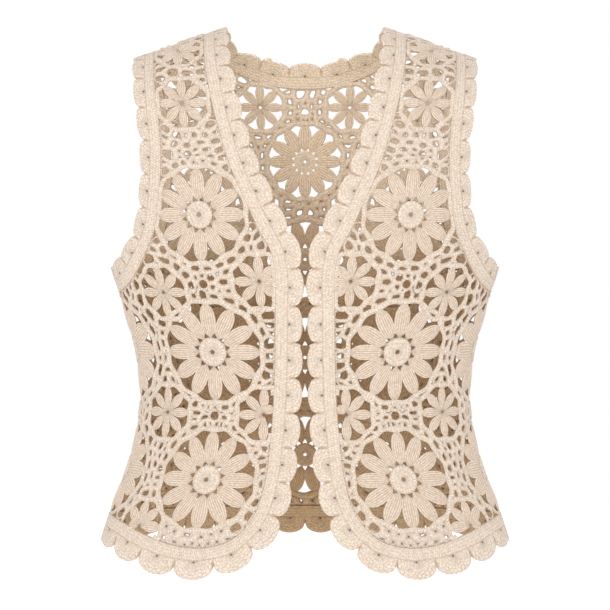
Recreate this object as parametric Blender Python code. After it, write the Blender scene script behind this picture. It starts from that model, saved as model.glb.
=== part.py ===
"""Crochet vest: two fronts and a back in flower lace, with scalloped edgings.

Metres, +Z up. The vest hangs as on a general figure and faces -Y. Its origin lies between the
shoulders, at the height of the middle of the shoulder seams. "left" and "right" are the wearer's,
so the left front is on +X.

Every piece is drawn in the cloth's own two coordinates: w, the way round the waist from the centre
front, and q, the height up the cloth. form() bends that sheet into the worn shape.
"""

import math

import bpy
import numpy as np
from mathutils import Vector
from mathutils.geometry import delaunay_2d_cdt

# Driving dimensions
SECTIONS = (  # height, half width, depth in front of the side line, depth behind it
    (-0.530, 0.2130, 0.117, 0.119),
    (-0.470, 0.1950, 0.110, 0.112),
    (-0.430, 0.1800, 0.102, 0.103),
    (-0.390, 0.1680, 0.095, 0.094),
    (-0.350, 0.1630, 0.091, 0.088),
    (-0.310, 0.1675, 0.093, 0.087),
    (-0.270, 0.1775, 0.099, 0.089),
    (-0.245, 0.1850, 0.102, 0.091),
    (-0.222, 0.1925, 0.105, 0.093),
    (-0.176, 0.1975, 0.107, 0.096),
    (-0.112, 0.2065, 0.103, 0.098),
    (-0.066, 0.2170, 0.094, 0.094),
    (-0.020, 0.2230, 0.081, 0.085),
    (0.030, 0.2260, 0.068, 0.073),
    (0.080, 0.2270, 0.062, 0.067),
)
WAIST_HEIGHT = -0.350
NECK_POINT = (0.079, 0.016)  # x and z where the shoulder line starts
SHOULDER_TIP = (0.174, -0.016)
SHOULDER_ROUND = 0.060  # height over which front and back curve in to the shoulder line
SHOULDER_DEPTH = 0.080  # depth at the foot of that curve
SHOULDER_HALF_WIDTH = 0.2245  # half width of the form at the shoulder line
SIDE_SEAM_ANGLE = 118.0  # degrees from the centre front, a little behind the underarm

WALL = 0.0020
SEAM_GAP = 0.0003
BAND = 0.0125  # plain rows between the lace and the scallops
PARTS_OF_SCALLOP = 4

EDGINGS = {  # scallops, 1 if the free edge is on the right, else -1
    "front": (25, 1),
    "back_neck": (9, -1),
    "back_hem": (12, 1),
    "armhole": (19, -1),
}
WIDTHS = {  # height up the cloth, full width, depth of a scallop
    "front": (
        (-0.470, 0.0315, 0.0115),
        (-0.430, 0.0290, 0.0085),
        (-0.260, 0.0268, 0.0070),
        (-0.210, 0.0290, 0.0070),
    ),
    "back_neck": ((0.0, 0.0290, 0.0065),),
    "back_hem": ((-0.470, 0.0305, 0.0110),),
    "armhole": (
        (-0.240, 0.0275, 0.0050),
        (-0.210, 0.0262, 0.0058),
        (-0.150, 0.0245, 0.0062),
        (-0.080, 0.0258, 0.0062),
        (-0.030, 0.0295, 0.0062),
        (0.030, 0.0325, 0.0060),
    ),
}
PASSED = {  # scallops passed and the way along the edging; those without a row here are even
    "front": (
        (2.5, 0.0690),
        (4.5, 0.1280),
        (7.5, 0.2155),
        (9.5, 0.2795),
        (12.5, 0.3840),
        (15.5, 0.4850),
        (17.5, 0.5500),
        (19.5, 0.6230),
        (21.5, 0.7010),
    ),
}

# Lines where the lace meets an edging: degrees from the centre front, height
FRONT_LINE = (
    (26.5, None),
    (25.6, -0.038),
    (23.5, -0.084),
    (20.7, -0.1256),
    (17.1, -0.1563),
    (13.1, -0.187),
    (9.8, -0.208),
    (8.8, -0.228),
    (9.2, -0.255),
    (10.6, -0.335),
    (11.7, -0.3945),
    (12.5, -0.4274),
    (16.1, -0.4655),
    (21.2, -0.4825),
    (29.0, -0.4900),
    (39.0, -0.4885),
    (51.0, -0.4806),
    (64.8, -0.4715),
    (80.0, -0.4670),
    (100.0, -0.4680),
    (118.0, -0.4700),
)
BACK_HEM_LINE = ((118.0, -0.4700), (150.0, -0.4710), (180.0, -0.4715))
BACK_NECK_LINE = ((153.5, None), (158.7, -0.0155), (163.3, -0.0245), (171.0, -0.0344), (180.0, -0.0375))
ARMHOLE_LINE = (
    (41.6, None),
    (41.4, -0.036),
    (41.0, -0.078),
    (42.2, -0.1188),
    (44.2, -0.1526),
    (46.8, -0.182),
    (50.5, -0.203),
    (55.3, -0.2195),
    (60.7, -0.2309),
    (67.0, -0.2390),
    (77.0, -0.2455),
    (90.0, -0.2475),
)

# Flowers: degrees from the centre front, height up the cloth, radius
FRONT_LARGE = (
    (30.8, -0.172, 0.0435),
    (31.9, -0.304, 0.0460),
    (32.0, -0.4265, 0.0460),
    (87.0, -0.304, 0.0460),
    (87.0, -0.4215, 0.0440),
)
FRONT_SMALL = (
    (13.4, -0.236, 0.024),
    (48.0, -0.2465, 0.024),
    (13.9, -0.364, 0.024),
    (54.8, -0.3635, 0.024),
    (33.0, -0.0640, 0.024),
    (33.8, 0.002, 0.024),
    (55.0, -0.4735, 0.024),
)
BACK_LARGE = (
    (180.0, -0.112, 0.039),
    (152.5, -0.112, 0.039),
)
BACK_CLOSE = (
    (150.0, -0.216, 0.041),
    (149.0, -0.312, 0.043),
    (149.0, -0.419, 0.043),
)
BACK_TURNED = (
    (180.0, -0.214, 0.039),
    (180.0, -0.316, 0.041),
    (180.0, -0.418, 0.041),
)
BACK_SMALL = (
    (167.7, -0.056, 0.023),
    (165.5, -0.163, 0.023),
    (164.5, -0.264, 0.023),
    (164.5, -0.367, 0.023),
    (130.0, -0.257, 0.023),
    (147.0, -0.041, 0.023),
)
FLOWERS = {  # petals, turn in petals, then in radii: gap foot, shoulder, half width, head, petal ridge, disc
    "large": (12, 0.0, 0.53, 0.92, 0.128, 1.02, 0.70, 0.27),
    "close": (12, 0.0, 0.58, 0.92, 0.105, 1.02, 0.70, 0.27),
    "turned": (12, 0.5, 0.58, 0.92, 0.105, 1.02, 0.70, 0.27),
    "small": (8, 0.0, 0.42, 0.88, 0.190, 1.030, 0.64, 0.0),
}
PETAL_RISE = 0.0024
DISC_RISE = 0.0012
SMALL_GAPS_CUT = 4  # of the eight in each small flower of the fronts
FILL_SPACING = 0.026
CLEAR_OF_EDGE = 0.0025

SIDE_PARTS = 9  # lengths that a side seam is drawn in
SHOULDER_PARTS = 3
SEAM_CLEAR = 0.002  # least length of edge beside a side seam
UNDERARM_HEIGHT = -0.190  # the armhole's line is read below this at the side seams
SHARP_ANGLE = math.radians(40)

COLOURS = {
    "lace": (0.86, 0.76, 0.62, 1.0),
    "edging": (0.87, 0.775, 0.64, 1.0),
}


def clear_scene():
    for obj in list(bpy.data.objects):
        bpy.data.objects.remove(obj, do_unlink=True)


def smooth(x, known_x, known_y):
    """A cubic curve through the known points, read at x."""
    known_x = np.asarray(known_x, float)
    known_y = np.asarray(known_y, float)
    slopes = np.gradient(known_y, known_x)
    at = np.clip(np.searchsorted(known_x, x) - 1, 0, len(known_x) - 2)
    span = known_x[at + 1] - known_x[at]
    t = np.clip((x - known_x[at]) / span, 0.0, 1.0)
    start = (2 * t**3 - 3 * t**2 + 1) * known_y[at] + (t**3 - 2 * t**2 + t) * span * slopes[at]
    end = (3 * t**2 - 2 * t**3) * known_y[at + 1] + (t**3 - t**2) * span * slopes[at + 1]
    return start + end


# The form: sections up the body, and the way round the waist
FINE_HEIGHTS = np.linspace(SECTIONS[0][0], SECTIONS[-1][0], 600)
FINE_SECTIONS = [
    smooth(FINE_HEIGHTS, [row[0] for row in SECTIONS], [row[column] for row in SECTIONS])
    for column in (1, 2, 3)
]


def section(height, theta):
    """Half width, and the depth on the side that theta is on."""
    width, front, back = (np.interp(height, FINE_HEIGHTS, values) for values in FINE_SECTIONS)
    return width, np.where(theta < math.pi / 2, front, back)


def waist_table():
    theta = np.linspace(0.0, math.pi, 721)
    width, depth = section(WAIST_HEIGHT, theta)
    speed = np.hypot(width * np.cos(theta), depth * np.sin(theta))
    steps = (speed[1:] + speed[:-1]) / 2 * np.diff(theta)
    return theta, np.concatenate([[0.0], np.cumsum(steps)])


WAIST_THETA, WAIST_WAY = waist_table()
HALF_GIRTH = WAIST_WAY[-1]


def way_of(degrees):
    """How far round the waist an angle is; past the centre back it goes on round the other side."""
    if degrees > 180.0:
        return 2 * HALF_GIRTH - way_of(360.0 - degrees)
    return float(np.interp(math.radians(degrees), WAIST_THETA, WAIST_WAY))


def angle_at(w):
    """The angle from the centre front, and which side it is on, for a way round the waist."""
    wrapped = (np.asarray(w, float) + HALF_GIRTH) % (2 * HALF_GIRTH) - HALF_GIRTH
    return np.interp(np.abs(wrapped), WAIST_WAY, WAIST_THETA), np.where(wrapped < 0, -1.0, 1.0)


def shoulder_curve(theta):
    """Where the rounding to the shoulder line starts, and how much cloth it takes."""
    neck_sine, tip_sine = (point[0] / SHOULDER_HALF_WIDTH for point in (NECK_POINT, SHOULDER_TIP))
    slope = (SHOULDER_TIP[1] - NECK_POINT[1]) / (tip_sine - neck_sine)
    ridge = NECK_POINT[1] + slope * (np.sin(theta) - neck_sine)
    depth = SHOULDER_DEPTH * np.abs(np.cos(theta))
    length = math.pi / 2 * np.sqrt((SHOULDER_ROUND**2 + depth**2) / 2)
    return ridge - SHOULDER_ROUND, length


def seam_height(w):
    """The cloth height of the shoulder seam."""
    low, length = shoulder_curve(angle_at(w)[0])
    return low + length


def form(w, q):
    """The worn place of a point of the cloth."""
    theta, side = angle_at(w)
    low, length = shoulder_curve(theta)
    turn = np.maximum(q - low, 0.0) / length * math.pi / 2
    height = np.minimum(q, low) + SHOULDER_ROUND * np.sin(turn)
    width, depth = section(height, theta)
    return np.stack(
        [side * width * np.sin(theta), -depth * np.cos(theta) * np.cos(turn), height], axis=-1
    )


def directions(w, q, step=0.0005):
    """The form's two directions at a point, and its outward normal."""
    across = (form(w + step, q) - form(w - step, q)) / (2 * step)
    up = (form(w, q + step) - form(w, q - step)) / (2 * step)
    normal = np.cross(across, up)
    return across, up, normal / np.linalg.norm(normal, axis=-1, keepdims=True)


def cloth_height(degrees, height):
    """The height up the cloth of a height above the floor; None is the shoulder seam."""
    low, length = shoulder_curve(math.radians(min(degrees, 360.0 - degrees)))
    if height is None:
        return float(low + length)
    if height <= low:
        return height
    return float(low + length * math.asin((height - low) / SHOULDER_ROUND) / (math.pi / 2))


def path_through(line, samples=500):
    """A smooth path over the cloth through a line's rows, as closely spaced points (w, q)."""
    points = np.array([(way_of(degrees), cloth_height(degrees, height)) for degrees, height in line])
    chords = np.linalg.norm(np.diff(points, axis=0), axis=1)
    known = np.concatenate([[0.0], np.cumsum(chords)])
    at = np.linspace(0.0, known[-1], samples)
    return np.stack([smooth(at, known, points[:, 0]), smooth(at, known, points[:, 1])], axis=1)


def mirrored_line(line, about=180.0):
    """The line and then its mirror image, about an angle, in one run."""
    return tuple(line) + tuple((2 * about - degrees, height) for degrees, height in reversed(line[:-1]))


class Edge:
    """The line between lace and edging, with the way across it towards the free edge."""

    def __init__(self, line, name):
        self.path = path_through(line)
        self.count, turn = EDGINGS[name]
        self.name = name
        across, up, normal = directions(self.path[:, 0], self.path[:, 1])
        places = form(self.path[:, 0], self.path[:, 1])
        tangent = np.gradient(places, axis=0)
        outward = turn * np.cross(tangent, normal)
        outward /= np.linalg.norm(outward, axis=1, keepdims=True)
        self.step = np.stack(
            [
                (outward * across).sum(axis=1) / (across * across).sum(axis=1),
                (outward * up).sum(axis=1) / (up * up).sum(axis=1),
            ],
            axis=1,
        )
        middle = form(*(self.path + self.step * BAND).T)
        self.way = np.concatenate([[0.0], np.cumsum(np.linalg.norm(np.diff(middle, axis=0), axis=1))])
        known = [(0.0, 0.0), *PASSED.get(name, ()), (self.count, self.way[-1])]
        number = np.linspace(0.0, self.count, self.count * PARTS_OF_SCALLOP + 1)
        self.stations = smooth(number, *zip(*known))

    def reach(self, station, phase):
        """How far out the free edge is at a phase from 0 to 1 of its scallop."""
        heights, widths, depths = zip(*WIDTHS[self.name])
        height = np.interp(station, self.way, self.path[:, 1])
        width, depth = np.interp(height, heights, widths), np.interp(height, heights, depths)
        return width - depth * (1 - math.sqrt(1 - (2 * phase - 1) ** 2))

    def at(self, station, distance):
        """The cloth point at a distance across the edge, here."""
        base = [np.interp(station, self.way, self.path[:, axis]) for axis in (0, 1)]
        step = [np.interp(station, self.way, self.step[:, axis]) for axis in (0, 1)]
        return np.array(base) + np.array(step) * distance

    def lace_side(self):
        """The lace's edge along this line, at each station."""
        return [self.at(station, -SEAM_GAP / 2) for station in self.stations]


def new_object(name, vertices, faces, colour):
    mesh = bpy.data.meshes.new(name)
    mesh.from_pydata([tuple(vertex) for vertex in vertices], [], faces)
    mesh.validate()
    mesh.shade_smooth()
    mesh.set_sharp_from_angle(angle=SHARP_ANGLE)
    material = bpy.data.materials.get(colour) or bpy.data.materials.new(colour)
    material.use_nodes = True
    shader = material.node_tree.nodes["Principled BSDF"]
    shader.inputs["Base Color"].default_value = COLOURS[colour]
    shader.inputs["Roughness"].default_value = 0.85
    shader.inputs["Metallic"].default_value = 0.0
    mesh.materials.append(material)
    obj = bpy.data.objects.new(name, mesh)
    bpy.context.scene.collection.objects.link(obj)
    return obj


def wall(cloth, faces, rise):
    """A closed wall on the form: the sheet moved out and in, with its rims closed."""
    w, q = np.asarray(cloth, float).T
    places = form(w, q)
    normal = directions(w, q)[2]
    outer = places + normal * (WALL / 2 + np.asarray(rise))[:, None]
    inner = places - normal * WALL / 2
    count = len(places)
    sides = {}
    for face in faces:
        for start, end in zip(face, face[1:] + face[:1]):
            sides[(start, end)] = True
    rims = [edge for edge in sides if (edge[1], edge[0]) not in sides]
    solid = [tuple(face) for face in faces]
    solid += [tuple(count + index for index in reversed(face)) for face in faces]
    for start, end in rims:
        solid += [(start, count + start, count + end), (start, count + end, end)]
    return np.concatenate([outer, inner]), solid


def add_wall(name, cloth, faces, rise, colour):
    """Adds a wall as an object of its own."""
    vertices, solid = wall(cloth, faces, rise)
    return new_object(name, vertices, solid, colour)


def add_mirrored(name, source, colour):
    """The same piece for the other side of the body."""
    vertices = [(-vertex.co.x, vertex.co.y, vertex.co.z) for vertex in source.data.vertices]
    faces = [tuple(reversed(polygon.vertices)) for polygon in source.data.polygons]
    return new_object(name, vertices, faces, colour)


def at_shoulder(w, q):
    """An edging's end point, moved on to its side of the shoulder seam."""
    return w, float(seam_height(w)) - SEAM_GAP / 2


def at_side(way):
    """A rule that moves an edging's end point on to its side of a side seam."""
    return lambda w, q: (way, q)


def edging_sheet(edge, start=None, end=None):
    """An edging's cloth points and triangles: a band and a row of scallops. No ends make a ring."""
    closed = end is None
    stations = edge.stations[:-1] if closed else edge.stations
    cloth = []
    for index, station in enumerate(stations):
        rule = {0: start, len(edge.stations) - 1: end}.get(index)
        phase = index % PARTS_OF_SCALLOP / PARTS_OF_SCALLOP
        for distance in (SEAM_GAP / 2, BAND, edge.reach(station, phase)):
            point = edge.at(station, distance)
            cloth.append(rule(*point) if rule else tuple(point))
    faces = []
    for number in range(len(stations) if closed else len(stations) - 1):
        here, there = 3 * number, 3 * (number + 1) % len(cloth)
        for row in (0, 1):
            faces.append([here + row, here + row + 1, there + row + 1])
            faces.append([here + row, there + row + 1, there + row])
    return cloth, faces


def add_edging(name, edge, start=None, end=None):
    cloth, faces = edging_sheet(edge, start, end)
    if facing(cloth, faces) < 0:
        faces = [face[::-1] for face in faces]
    return add_wall(name, cloth, faces, np.zeros(len(cloth)), "edging")


def facing(cloth, faces):
    """Above zero when the triangles turn anticlockwise on the cloth."""
    first, second, third = (np.array(cloth[index]) for index in faces[0])
    before, after = second - first, third - first
    return before[0] * after[1] - before[1] * after[0]


def local_place(centre, right, up):
    """A cloth point at real distances from a flower's centre."""
    w, q = centre
    across, upward, _ = directions(np.array(w), np.array(q))
    return (w + right / np.linalg.norm(across), q + up / np.linalg.norm(upward))


def flower_points(kind, centre, radius):
    """A flower's gaps, as outlines, and its raised points with their rise."""
    petals, turn, foot, shoulder, half, head, ridge, disc = FLOWERS[kind]
    gaps, raised = [], [(centre, DISC_RISE)]
    for petal in range(petals):
        along = math.pi / 2 + 2 * math.pi * (petal + turn) / petals
        between = along + math.pi / petals
        outline = []
        for out, aside in ((foot, 0.0), (shoulder, -half), (head, 0.0), (shoulder, half)):
            right = radius * (out * math.cos(between) + aside * math.sin(between))
            up = radius * (out * math.sin(between) - aside * math.cos(between))
            outline.append(local_place(centre, right, up))
        gaps.append(outline)
        top = local_place(centre, radius * ridge * math.cos(along), radius * ridge * math.sin(along))
        raised.append((top, PETAL_RISE))
        if disc and petal % 2 == 0:
            rim = local_place(centre, radius * disc * math.cos(along), radius * disc * math.sin(along))
            raised.append((rim, DISC_RISE))
    return gaps, raised


def inside(points, outline):
    """Which points lie inside an outline."""
    points = np.asarray(points, float)
    result = np.zeros(len(points), bool)
    for (x0, y0), (x1, y1) in zip(outline, outline[1:] + outline[:1]):
        crosses = (y0 > points[:, 1]) != (y1 > points[:, 1])
        with np.errstate(divide="ignore", invalid="ignore"):
            where = (x1 - x0) * (points[:, 1] - y0) / (y1 - y0) + x0
        result ^= crosses & (points[:, 0] < where)
    return result


def distance_to(points, outline):
    """How far points are from an outline's line."""
    points = np.asarray(points, float)
    best = np.full(len(points), np.inf)
    for start, end in zip(outline, outline[1:] + outline[:1]):
        start, end = np.array(start), np.array(end)
        line = end - start
        t = np.clip(((points - start) @ line) / (line @ line), 0.0, 1.0)
        best = np.minimum(best, np.linalg.norm(points - start - t[:, None] * line, axis=1))
    return best


def fits(points, outline):
    """True when points lie inside an outline and clear of it."""
    return inside(points, outline).all() and distance_to(points, outline).min() > CLEAR_OF_EDGE


def panel_sheet(outline, flowers):
    """A panel's cloth points, triangles and rise, with the flowers' gaps cut through."""
    gaps, points, rises = [], list(outline), [0.0] * len(outline)
    for kind, centre, radius, cut in flowers:
        outlines, raised = flower_points(kind, centre, radius)
        fitting = [gap for gap in outlines if fits(gap, outline)]
        gaps += fitting[:: 2 if len(fitting) >= 2 * cut else 1][:cut]
        for point, rise in raised:
            if fits([point], outline):
                points.append(point)
                rises.append(rise)
    edges = [(index, (index + 1) % len(outline)) for index in range(len(outline))]
    for gap in gaps:
        first = len(points)
        points += gap
        rises += [0.0] * len(gap)
        edges += [(first + index, first + (index + 1) % len(gap)) for index in range(len(gap))]
    points, rises = with_fill(points, rises, outline)
    return triangulated(points, rises, edges, outline, gaps)


def with_fill(points, rises, outline):
    """Adds plain points where the triangles would otherwise be too long for the curve of the body."""
    low, high = np.min(outline, axis=0), np.max(outline, axis=0)
    for w in np.arange(low[0] + FILL_SPACING / 2, high[0], FILL_SPACING):
        for q in np.arange(low[1] + FILL_SPACING / 2, high[1], FILL_SPACING):
            near = np.linalg.norm(np.array(points) - (w, q), axis=1).min()
            clear = distance_to([(w, q)], outline)[0]
            if near > FILL_SPACING / 2 and clear > FILL_SPACING / 3 and inside([(w, q)], outline)[0]:
                points.append((w, q))
                rises.append(0.0)
    return points, rises


def triangulated(points, rises, edges, outline, gaps):
    found = delaunay_2d_cdt([Vector(point) for point in points], edges, [], 0, 1e-7)
    cloth = np.array([tuple(point) for point in found[0]])
    origin = found[3]
    rise = np.array([rises[known[0]] if known else 0.0 for known in origin])
    triangles = np.array(found[2])
    middles = cloth[triangles].mean(axis=1)
    keep = inside(middles, outline)
    for gap in gaps:
        keep &= ~inside(middles, gap)
    triangles = triangles[keep]
    used, index = np.unique(triangles, return_inverse=True)
    triangles = index.reshape(-1, 3).tolist()
    return cloth[used], triangles, rise[used]


def along_seam(start, end, parts):
    """Points of the shoulder seam between two ways round the waist, without the ends."""
    ways = np.linspace(start, end, parts + 1)[1:-1]
    return [(w, float(seam_height(w)) - SEAM_GAP / 2) for w in ways]


def up_side(w, low, high, parts):
    return [(w, q) for q in np.linspace(low, high, parts + 1)[1:-1]]


def part_of_armhole(edge, first, last):
    """The armhole's lace edge between two ways round the waist."""
    points = [tuple(point) for point in edge.lace_side()]
    return [point for point in points if first < point[0] < last]


def on_armhole(edge, w):
    """The cloth height of the armhole's lace edge at a way round the waist near the underarm."""
    points = np.array(edge.lace_side())
    low = points[points[:, 1] < UNDERARM_HEIGHT]
    order = np.argsort(low[:, 0])
    return float(np.interp(w, low[order, 0], low[order, 1]))


def placed(rows, kind, cut, mirror=False):
    flowers = []
    for degrees, height, radius in rows:
        way = way_of(degrees)
        flowers.append((kind, (way, height), radius, cut))
        if mirror and way < HALF_GIRTH - 1e-6:
            flowers.append((kind, (2 * HALF_GIRTH - way, height), radius, cut))
    return flowers


def front_outline(front, armhole, seam_way):
    """The left front's outline: front line down, side seam up, armhole up, shoulder seam back."""
    down = [tuple(point) for point in front.lace_side()]
    down[0] = (down[0][0], float(seam_height(down[0][0])) - SEAM_GAP / 2)
    down[-1] = (seam_way - SEAM_GAP / 2, down[-1][1])
    top = on_armhole(armhole, seam_way - SEAM_GAP / 2)
    side = up_side(seam_way - SEAM_GAP / 2, down[-1][1], top, SIDE_PARTS)
    arm = part_of_armhole(armhole, -1.0, seam_way - SEAM_CLEAR)[::-1]
    arm[-1] = (arm[-1][0], float(seam_height(arm[-1][0])) - SEAM_GAP / 2)
    shoulder = along_seam(arm[-1][0], down[0][0], SHOULDER_PARTS)
    return down + side + [(seam_way - SEAM_GAP / 2, top)] + arm + shoulder


def back_outline(neck, hem, armhole, seam_way):
    """The back's outline: left half from the neck out and down to the hem, then its mirror image."""
    across = [tuple(point) for point in neck.lace_side()]
    across[0] = (across[0][0], float(seam_height(across[0][0])) - SEAM_GAP / 2)
    middle = len(across) // 2
    half_neck = across[: middle + 1][::-1]
    arm = part_of_armhole(armhole, seam_way + SEAM_CLEAR, 2 * HALF_GIRTH)[::-1]
    arm[0] = (arm[0][0], float(seam_height(arm[0][0])) - SEAM_GAP / 2)
    shoulder = along_seam(half_neck[-1][0], arm[0][0], SHOULDER_PARTS)
    top = on_armhole(armhole, seam_way + SEAM_GAP / 2)
    hem_points = [tuple(point) for point in hem.lace_side()]
    hem_points = hem_points[: len(hem_points) // 2 + 1]
    hem_points[0] = (seam_way + SEAM_GAP / 2, hem_points[0][1])
    side = up_side(seam_way + SEAM_GAP / 2, hem_points[0][1], top, SIDE_PARTS)[::-1]
    half = half_neck + shoulder + arm + [(seam_way + SEAM_GAP / 2, top)] + side + hem_points
    other = [(2 * HALF_GIRTH - w, q) for w, q in half[1:-1][::-1]]
    return half + other


def main():
    clear_scene()
    seam_way = way_of(SIDE_SEAM_ANGLE)
    front = Edge(FRONT_LINE, "front")
    neck = Edge(mirrored_line(BACK_NECK_LINE), "back_neck")
    hem = Edge(mirrored_line(BACK_HEM_LINE), "back_hem")
    armhole = Edge(mirrored_line(ARMHOLE_LINE, about=90.0), "armhole")

    outline = front_outline(front, armhole, seam_way)
    flowers = placed(FRONT_LARGE, "large", 12) + placed(FRONT_SMALL[:4], "small", SMALL_GAPS_CUT)
    flowers += placed(FRONT_SMALL[4:], "small", 0)
    left = add_wall("front_left", *panel_sheet(outline, flowers), "lace")
    add_mirrored("front_right", left, "lace")
    outline = back_outline(neck, hem, armhole, seam_way)
    flowers = placed(BACK_LARGE, "large", 12, mirror=True) + placed(BACK_CLOSE, "close", 12, mirror=True)
    flowers += placed(BACK_TURNED, "turned", 12) + placed(BACK_SMALL, "small", 0, mirror=True)
    add_wall("back", *panel_sheet(outline, flowers), "lace")
    far_seam = 2 * HALF_GIRTH - seam_way
    add_edging("back_neck_edging", neck, at_shoulder, at_shoulder)
    add_edging("back_hem_edging", hem, at_side(seam_way + SEAM_GAP / 2), at_side(far_seam - SEAM_GAP / 2))
    left = add_edging("front_edging_left", front, at_shoulder, at_side(seam_way - SEAM_GAP / 2))
    add_mirrored("front_edging_right", left, "edging")
    left = add_edging("armhole_edging_left", armhole)
    add_mirrored("armhole_edging_right", left, "edging")


main()
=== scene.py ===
# %% [markdown]
# # A crochet vest in flower lace
# This lesson dresses a crochet vest. The vest is worn open: two fronts and a back of flower lace,
# with plain rows and scallops along every edge. The solids that give its form are already in the
# frame, so here each panel is worked again in yarn on the same form, and the solid is put away.

import math

import bpy
import numpy as np
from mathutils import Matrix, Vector
from mathutils.geometry import delaunay_2d_cdt
from numpy.linalg import norm


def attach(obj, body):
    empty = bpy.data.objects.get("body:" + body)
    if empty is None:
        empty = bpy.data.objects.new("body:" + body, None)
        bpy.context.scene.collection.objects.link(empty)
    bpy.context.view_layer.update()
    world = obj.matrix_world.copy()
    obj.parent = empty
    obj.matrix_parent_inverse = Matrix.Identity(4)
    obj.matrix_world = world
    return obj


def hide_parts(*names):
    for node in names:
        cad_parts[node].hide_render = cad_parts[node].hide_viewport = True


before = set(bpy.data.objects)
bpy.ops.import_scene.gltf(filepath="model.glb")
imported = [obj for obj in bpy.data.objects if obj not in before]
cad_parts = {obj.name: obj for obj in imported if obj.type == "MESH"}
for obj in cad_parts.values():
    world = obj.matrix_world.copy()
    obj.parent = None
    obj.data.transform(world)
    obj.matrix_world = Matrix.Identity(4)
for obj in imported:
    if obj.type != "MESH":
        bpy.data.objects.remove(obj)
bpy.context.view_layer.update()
MM = 0.001
print("nodes:", sorted(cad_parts))


# %% Short words for arrays
def joined(*parts, axis=0):
    """Several arrays, one after another."""
    return np.concatenate(parts, axis=axis)


def columns(*parts):
    """Several arrays side by side."""
    return np.stack(parts, axis=-1)


def running(steps):
    """The way gone after each step, from 0."""
    return joined([0.0], np.cumsum(steps))


print("on one way:", running([1.0, 2.0]))

# %% [markdown]
# ## The form
# Real crochet has no shape of its own: a body fills it out. A modeller could drape a sheet over a
# figure by simulation, but a vest with few folds is steadier when its form is written down. So the
# body is a short table of rings, and every point of the cloth has two numbers: w, the way round the
# waist from the centre front, and q, the height up the cloth. form() bends that sheet.

# %% Rings of the body
SECTIONS = (  # height, half width, depth in front of the side line, depth behind it
    (-0.530, 0.2130, 0.117, 0.119),
    (-0.470, 0.1950, 0.110, 0.112),
    (-0.430, 0.1800, 0.102, 0.103),
    (-0.390, 0.1680, 0.095, 0.094),
    (-0.350, 0.1630, 0.091, 0.088),
    (-0.310, 0.1675, 0.093, 0.087),
    (-0.270, 0.1775, 0.099, 0.089),
    (-0.245, 0.1850, 0.102, 0.091),
    (-0.222, 0.1925, 0.105, 0.093),
    (-0.176, 0.1975, 0.107, 0.096),
    (-0.112, 0.2065, 0.103, 0.098),
    (-0.066, 0.2170, 0.094, 0.094),
    (-0.020, 0.2230, 0.081, 0.085),
    (0.030, 0.2260, 0.068, 0.073),
    (0.080, 0.2270, 0.062, 0.067),
)
WAIST_HEIGHT = -0.350
NECK_POINT = (0.079, 0.016)
SHOULDER_TIP = (0.174, -0.016)
SHOULDER_ROUND = 0.060
SHOULDER_DEPTH = 0.080
SHOULDER_HALF_WIDTH = 0.2245
SIDE_SEAM_ANGLE = 118.0
SEAM_GAP = 0.0003


def smooth(x, known_x, known_y):
    """A cubic curve through the known points, read at x."""
    known_x = np.asarray(known_x, float)
    known_y = np.asarray(known_y, float)
    slopes = np.gradient(known_y, known_x)
    at = np.clip(np.searchsorted(known_x, x) - 1, 0, len(known_x) - 2)
    span = known_x[at + 1] - known_x[at]
    t = np.clip((x - known_x[at]) / span, 0.0, 1.0)
    start = (2 * t**3 - 3 * t**2 + 1) * known_y[at] + (t**3 - 2 * t**2 + t) * span * slopes[at]
    end = (3 * t**2 - 2 * t**3) * known_y[at + 1] + (t**3 - t**2) * span * slopes[at + 1]
    return start + end


FINE_HEIGHTS = np.linspace(SECTIONS[0][0], SECTIONS[-1][0], 600)
FINE_SECTIONS = [
    smooth(FINE_HEIGHTS, [row[0] for row in SECTIONS], [row[column] for row in SECTIONS])
    for column in (1, 2, 3)
]


def section(height, theta):
    """Half width, and the depth on the side that theta is on."""
    width, front, back = (np.interp(height, FINE_HEIGHTS, values) for values in FINE_SECTIONS)
    return width, np.where(theta < math.pi / 2, front, back)


print("half width of the waist:", round(float(section(WAIST_HEIGHT, 0.0)[0]) * 1000), "mm")


# %% The way round the waist
def waist_table():
    """Angles from the centre front, and the way round the waist to each."""
    theta = np.linspace(0.0, math.pi, 721)
    width, depth = section(WAIST_HEIGHT, theta)
    speed = np.hypot(width * np.cos(theta), depth * np.sin(theta))
    steps = (speed[1:] + speed[:-1]) / 2 * np.diff(theta)
    return theta, running(steps)


WAIST_THETA, WAIST_WAY = waist_table()
HALF_GIRTH = WAIST_WAY[-1]


def way_of(degrees):
    """How far round the waist an angle is; past the centre back it goes on round the other side."""
    if degrees > 180.0:
        return 2 * HALF_GIRTH - way_of(360.0 - degrees)
    return float(np.interp(math.radians(degrees), WAIST_THETA, WAIST_WAY))


def angle_at(w):
    """The angle from the centre front, and which side it is on, for a way round the waist."""
    wrapped = (np.asarray(w, float) + HALF_GIRTH) % (2 * HALF_GIRTH) - HALF_GIRTH
    return np.interp(np.abs(wrapped), WAIST_WAY, WAIST_THETA), np.where(wrapped < 0, -1.0, 1.0)


print("half way round the waist:", round(HALF_GIRTH * 1000), "mm")


# %% From the cloth to the worn shape
def shoulder_curve(theta):
    """Where the rounding to the shoulder line starts, and how much cloth it takes."""
    neck_sine, tip_sine = (point[0] / SHOULDER_HALF_WIDTH for point in (NECK_POINT, SHOULDER_TIP))
    slope = (SHOULDER_TIP[1] - NECK_POINT[1]) / (tip_sine - neck_sine)
    ridge = NECK_POINT[1] + slope * (np.sin(theta) - neck_sine)
    depth = SHOULDER_DEPTH * np.abs(np.cos(theta))
    length = math.pi / 2 * np.sqrt((SHOULDER_ROUND**2 + depth**2) / 2)
    return ridge - SHOULDER_ROUND, length


def seam_height(w):
    """The cloth height of the shoulder seam."""
    low, length = shoulder_curve(angle_at(w)[0])
    return low + length


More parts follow.
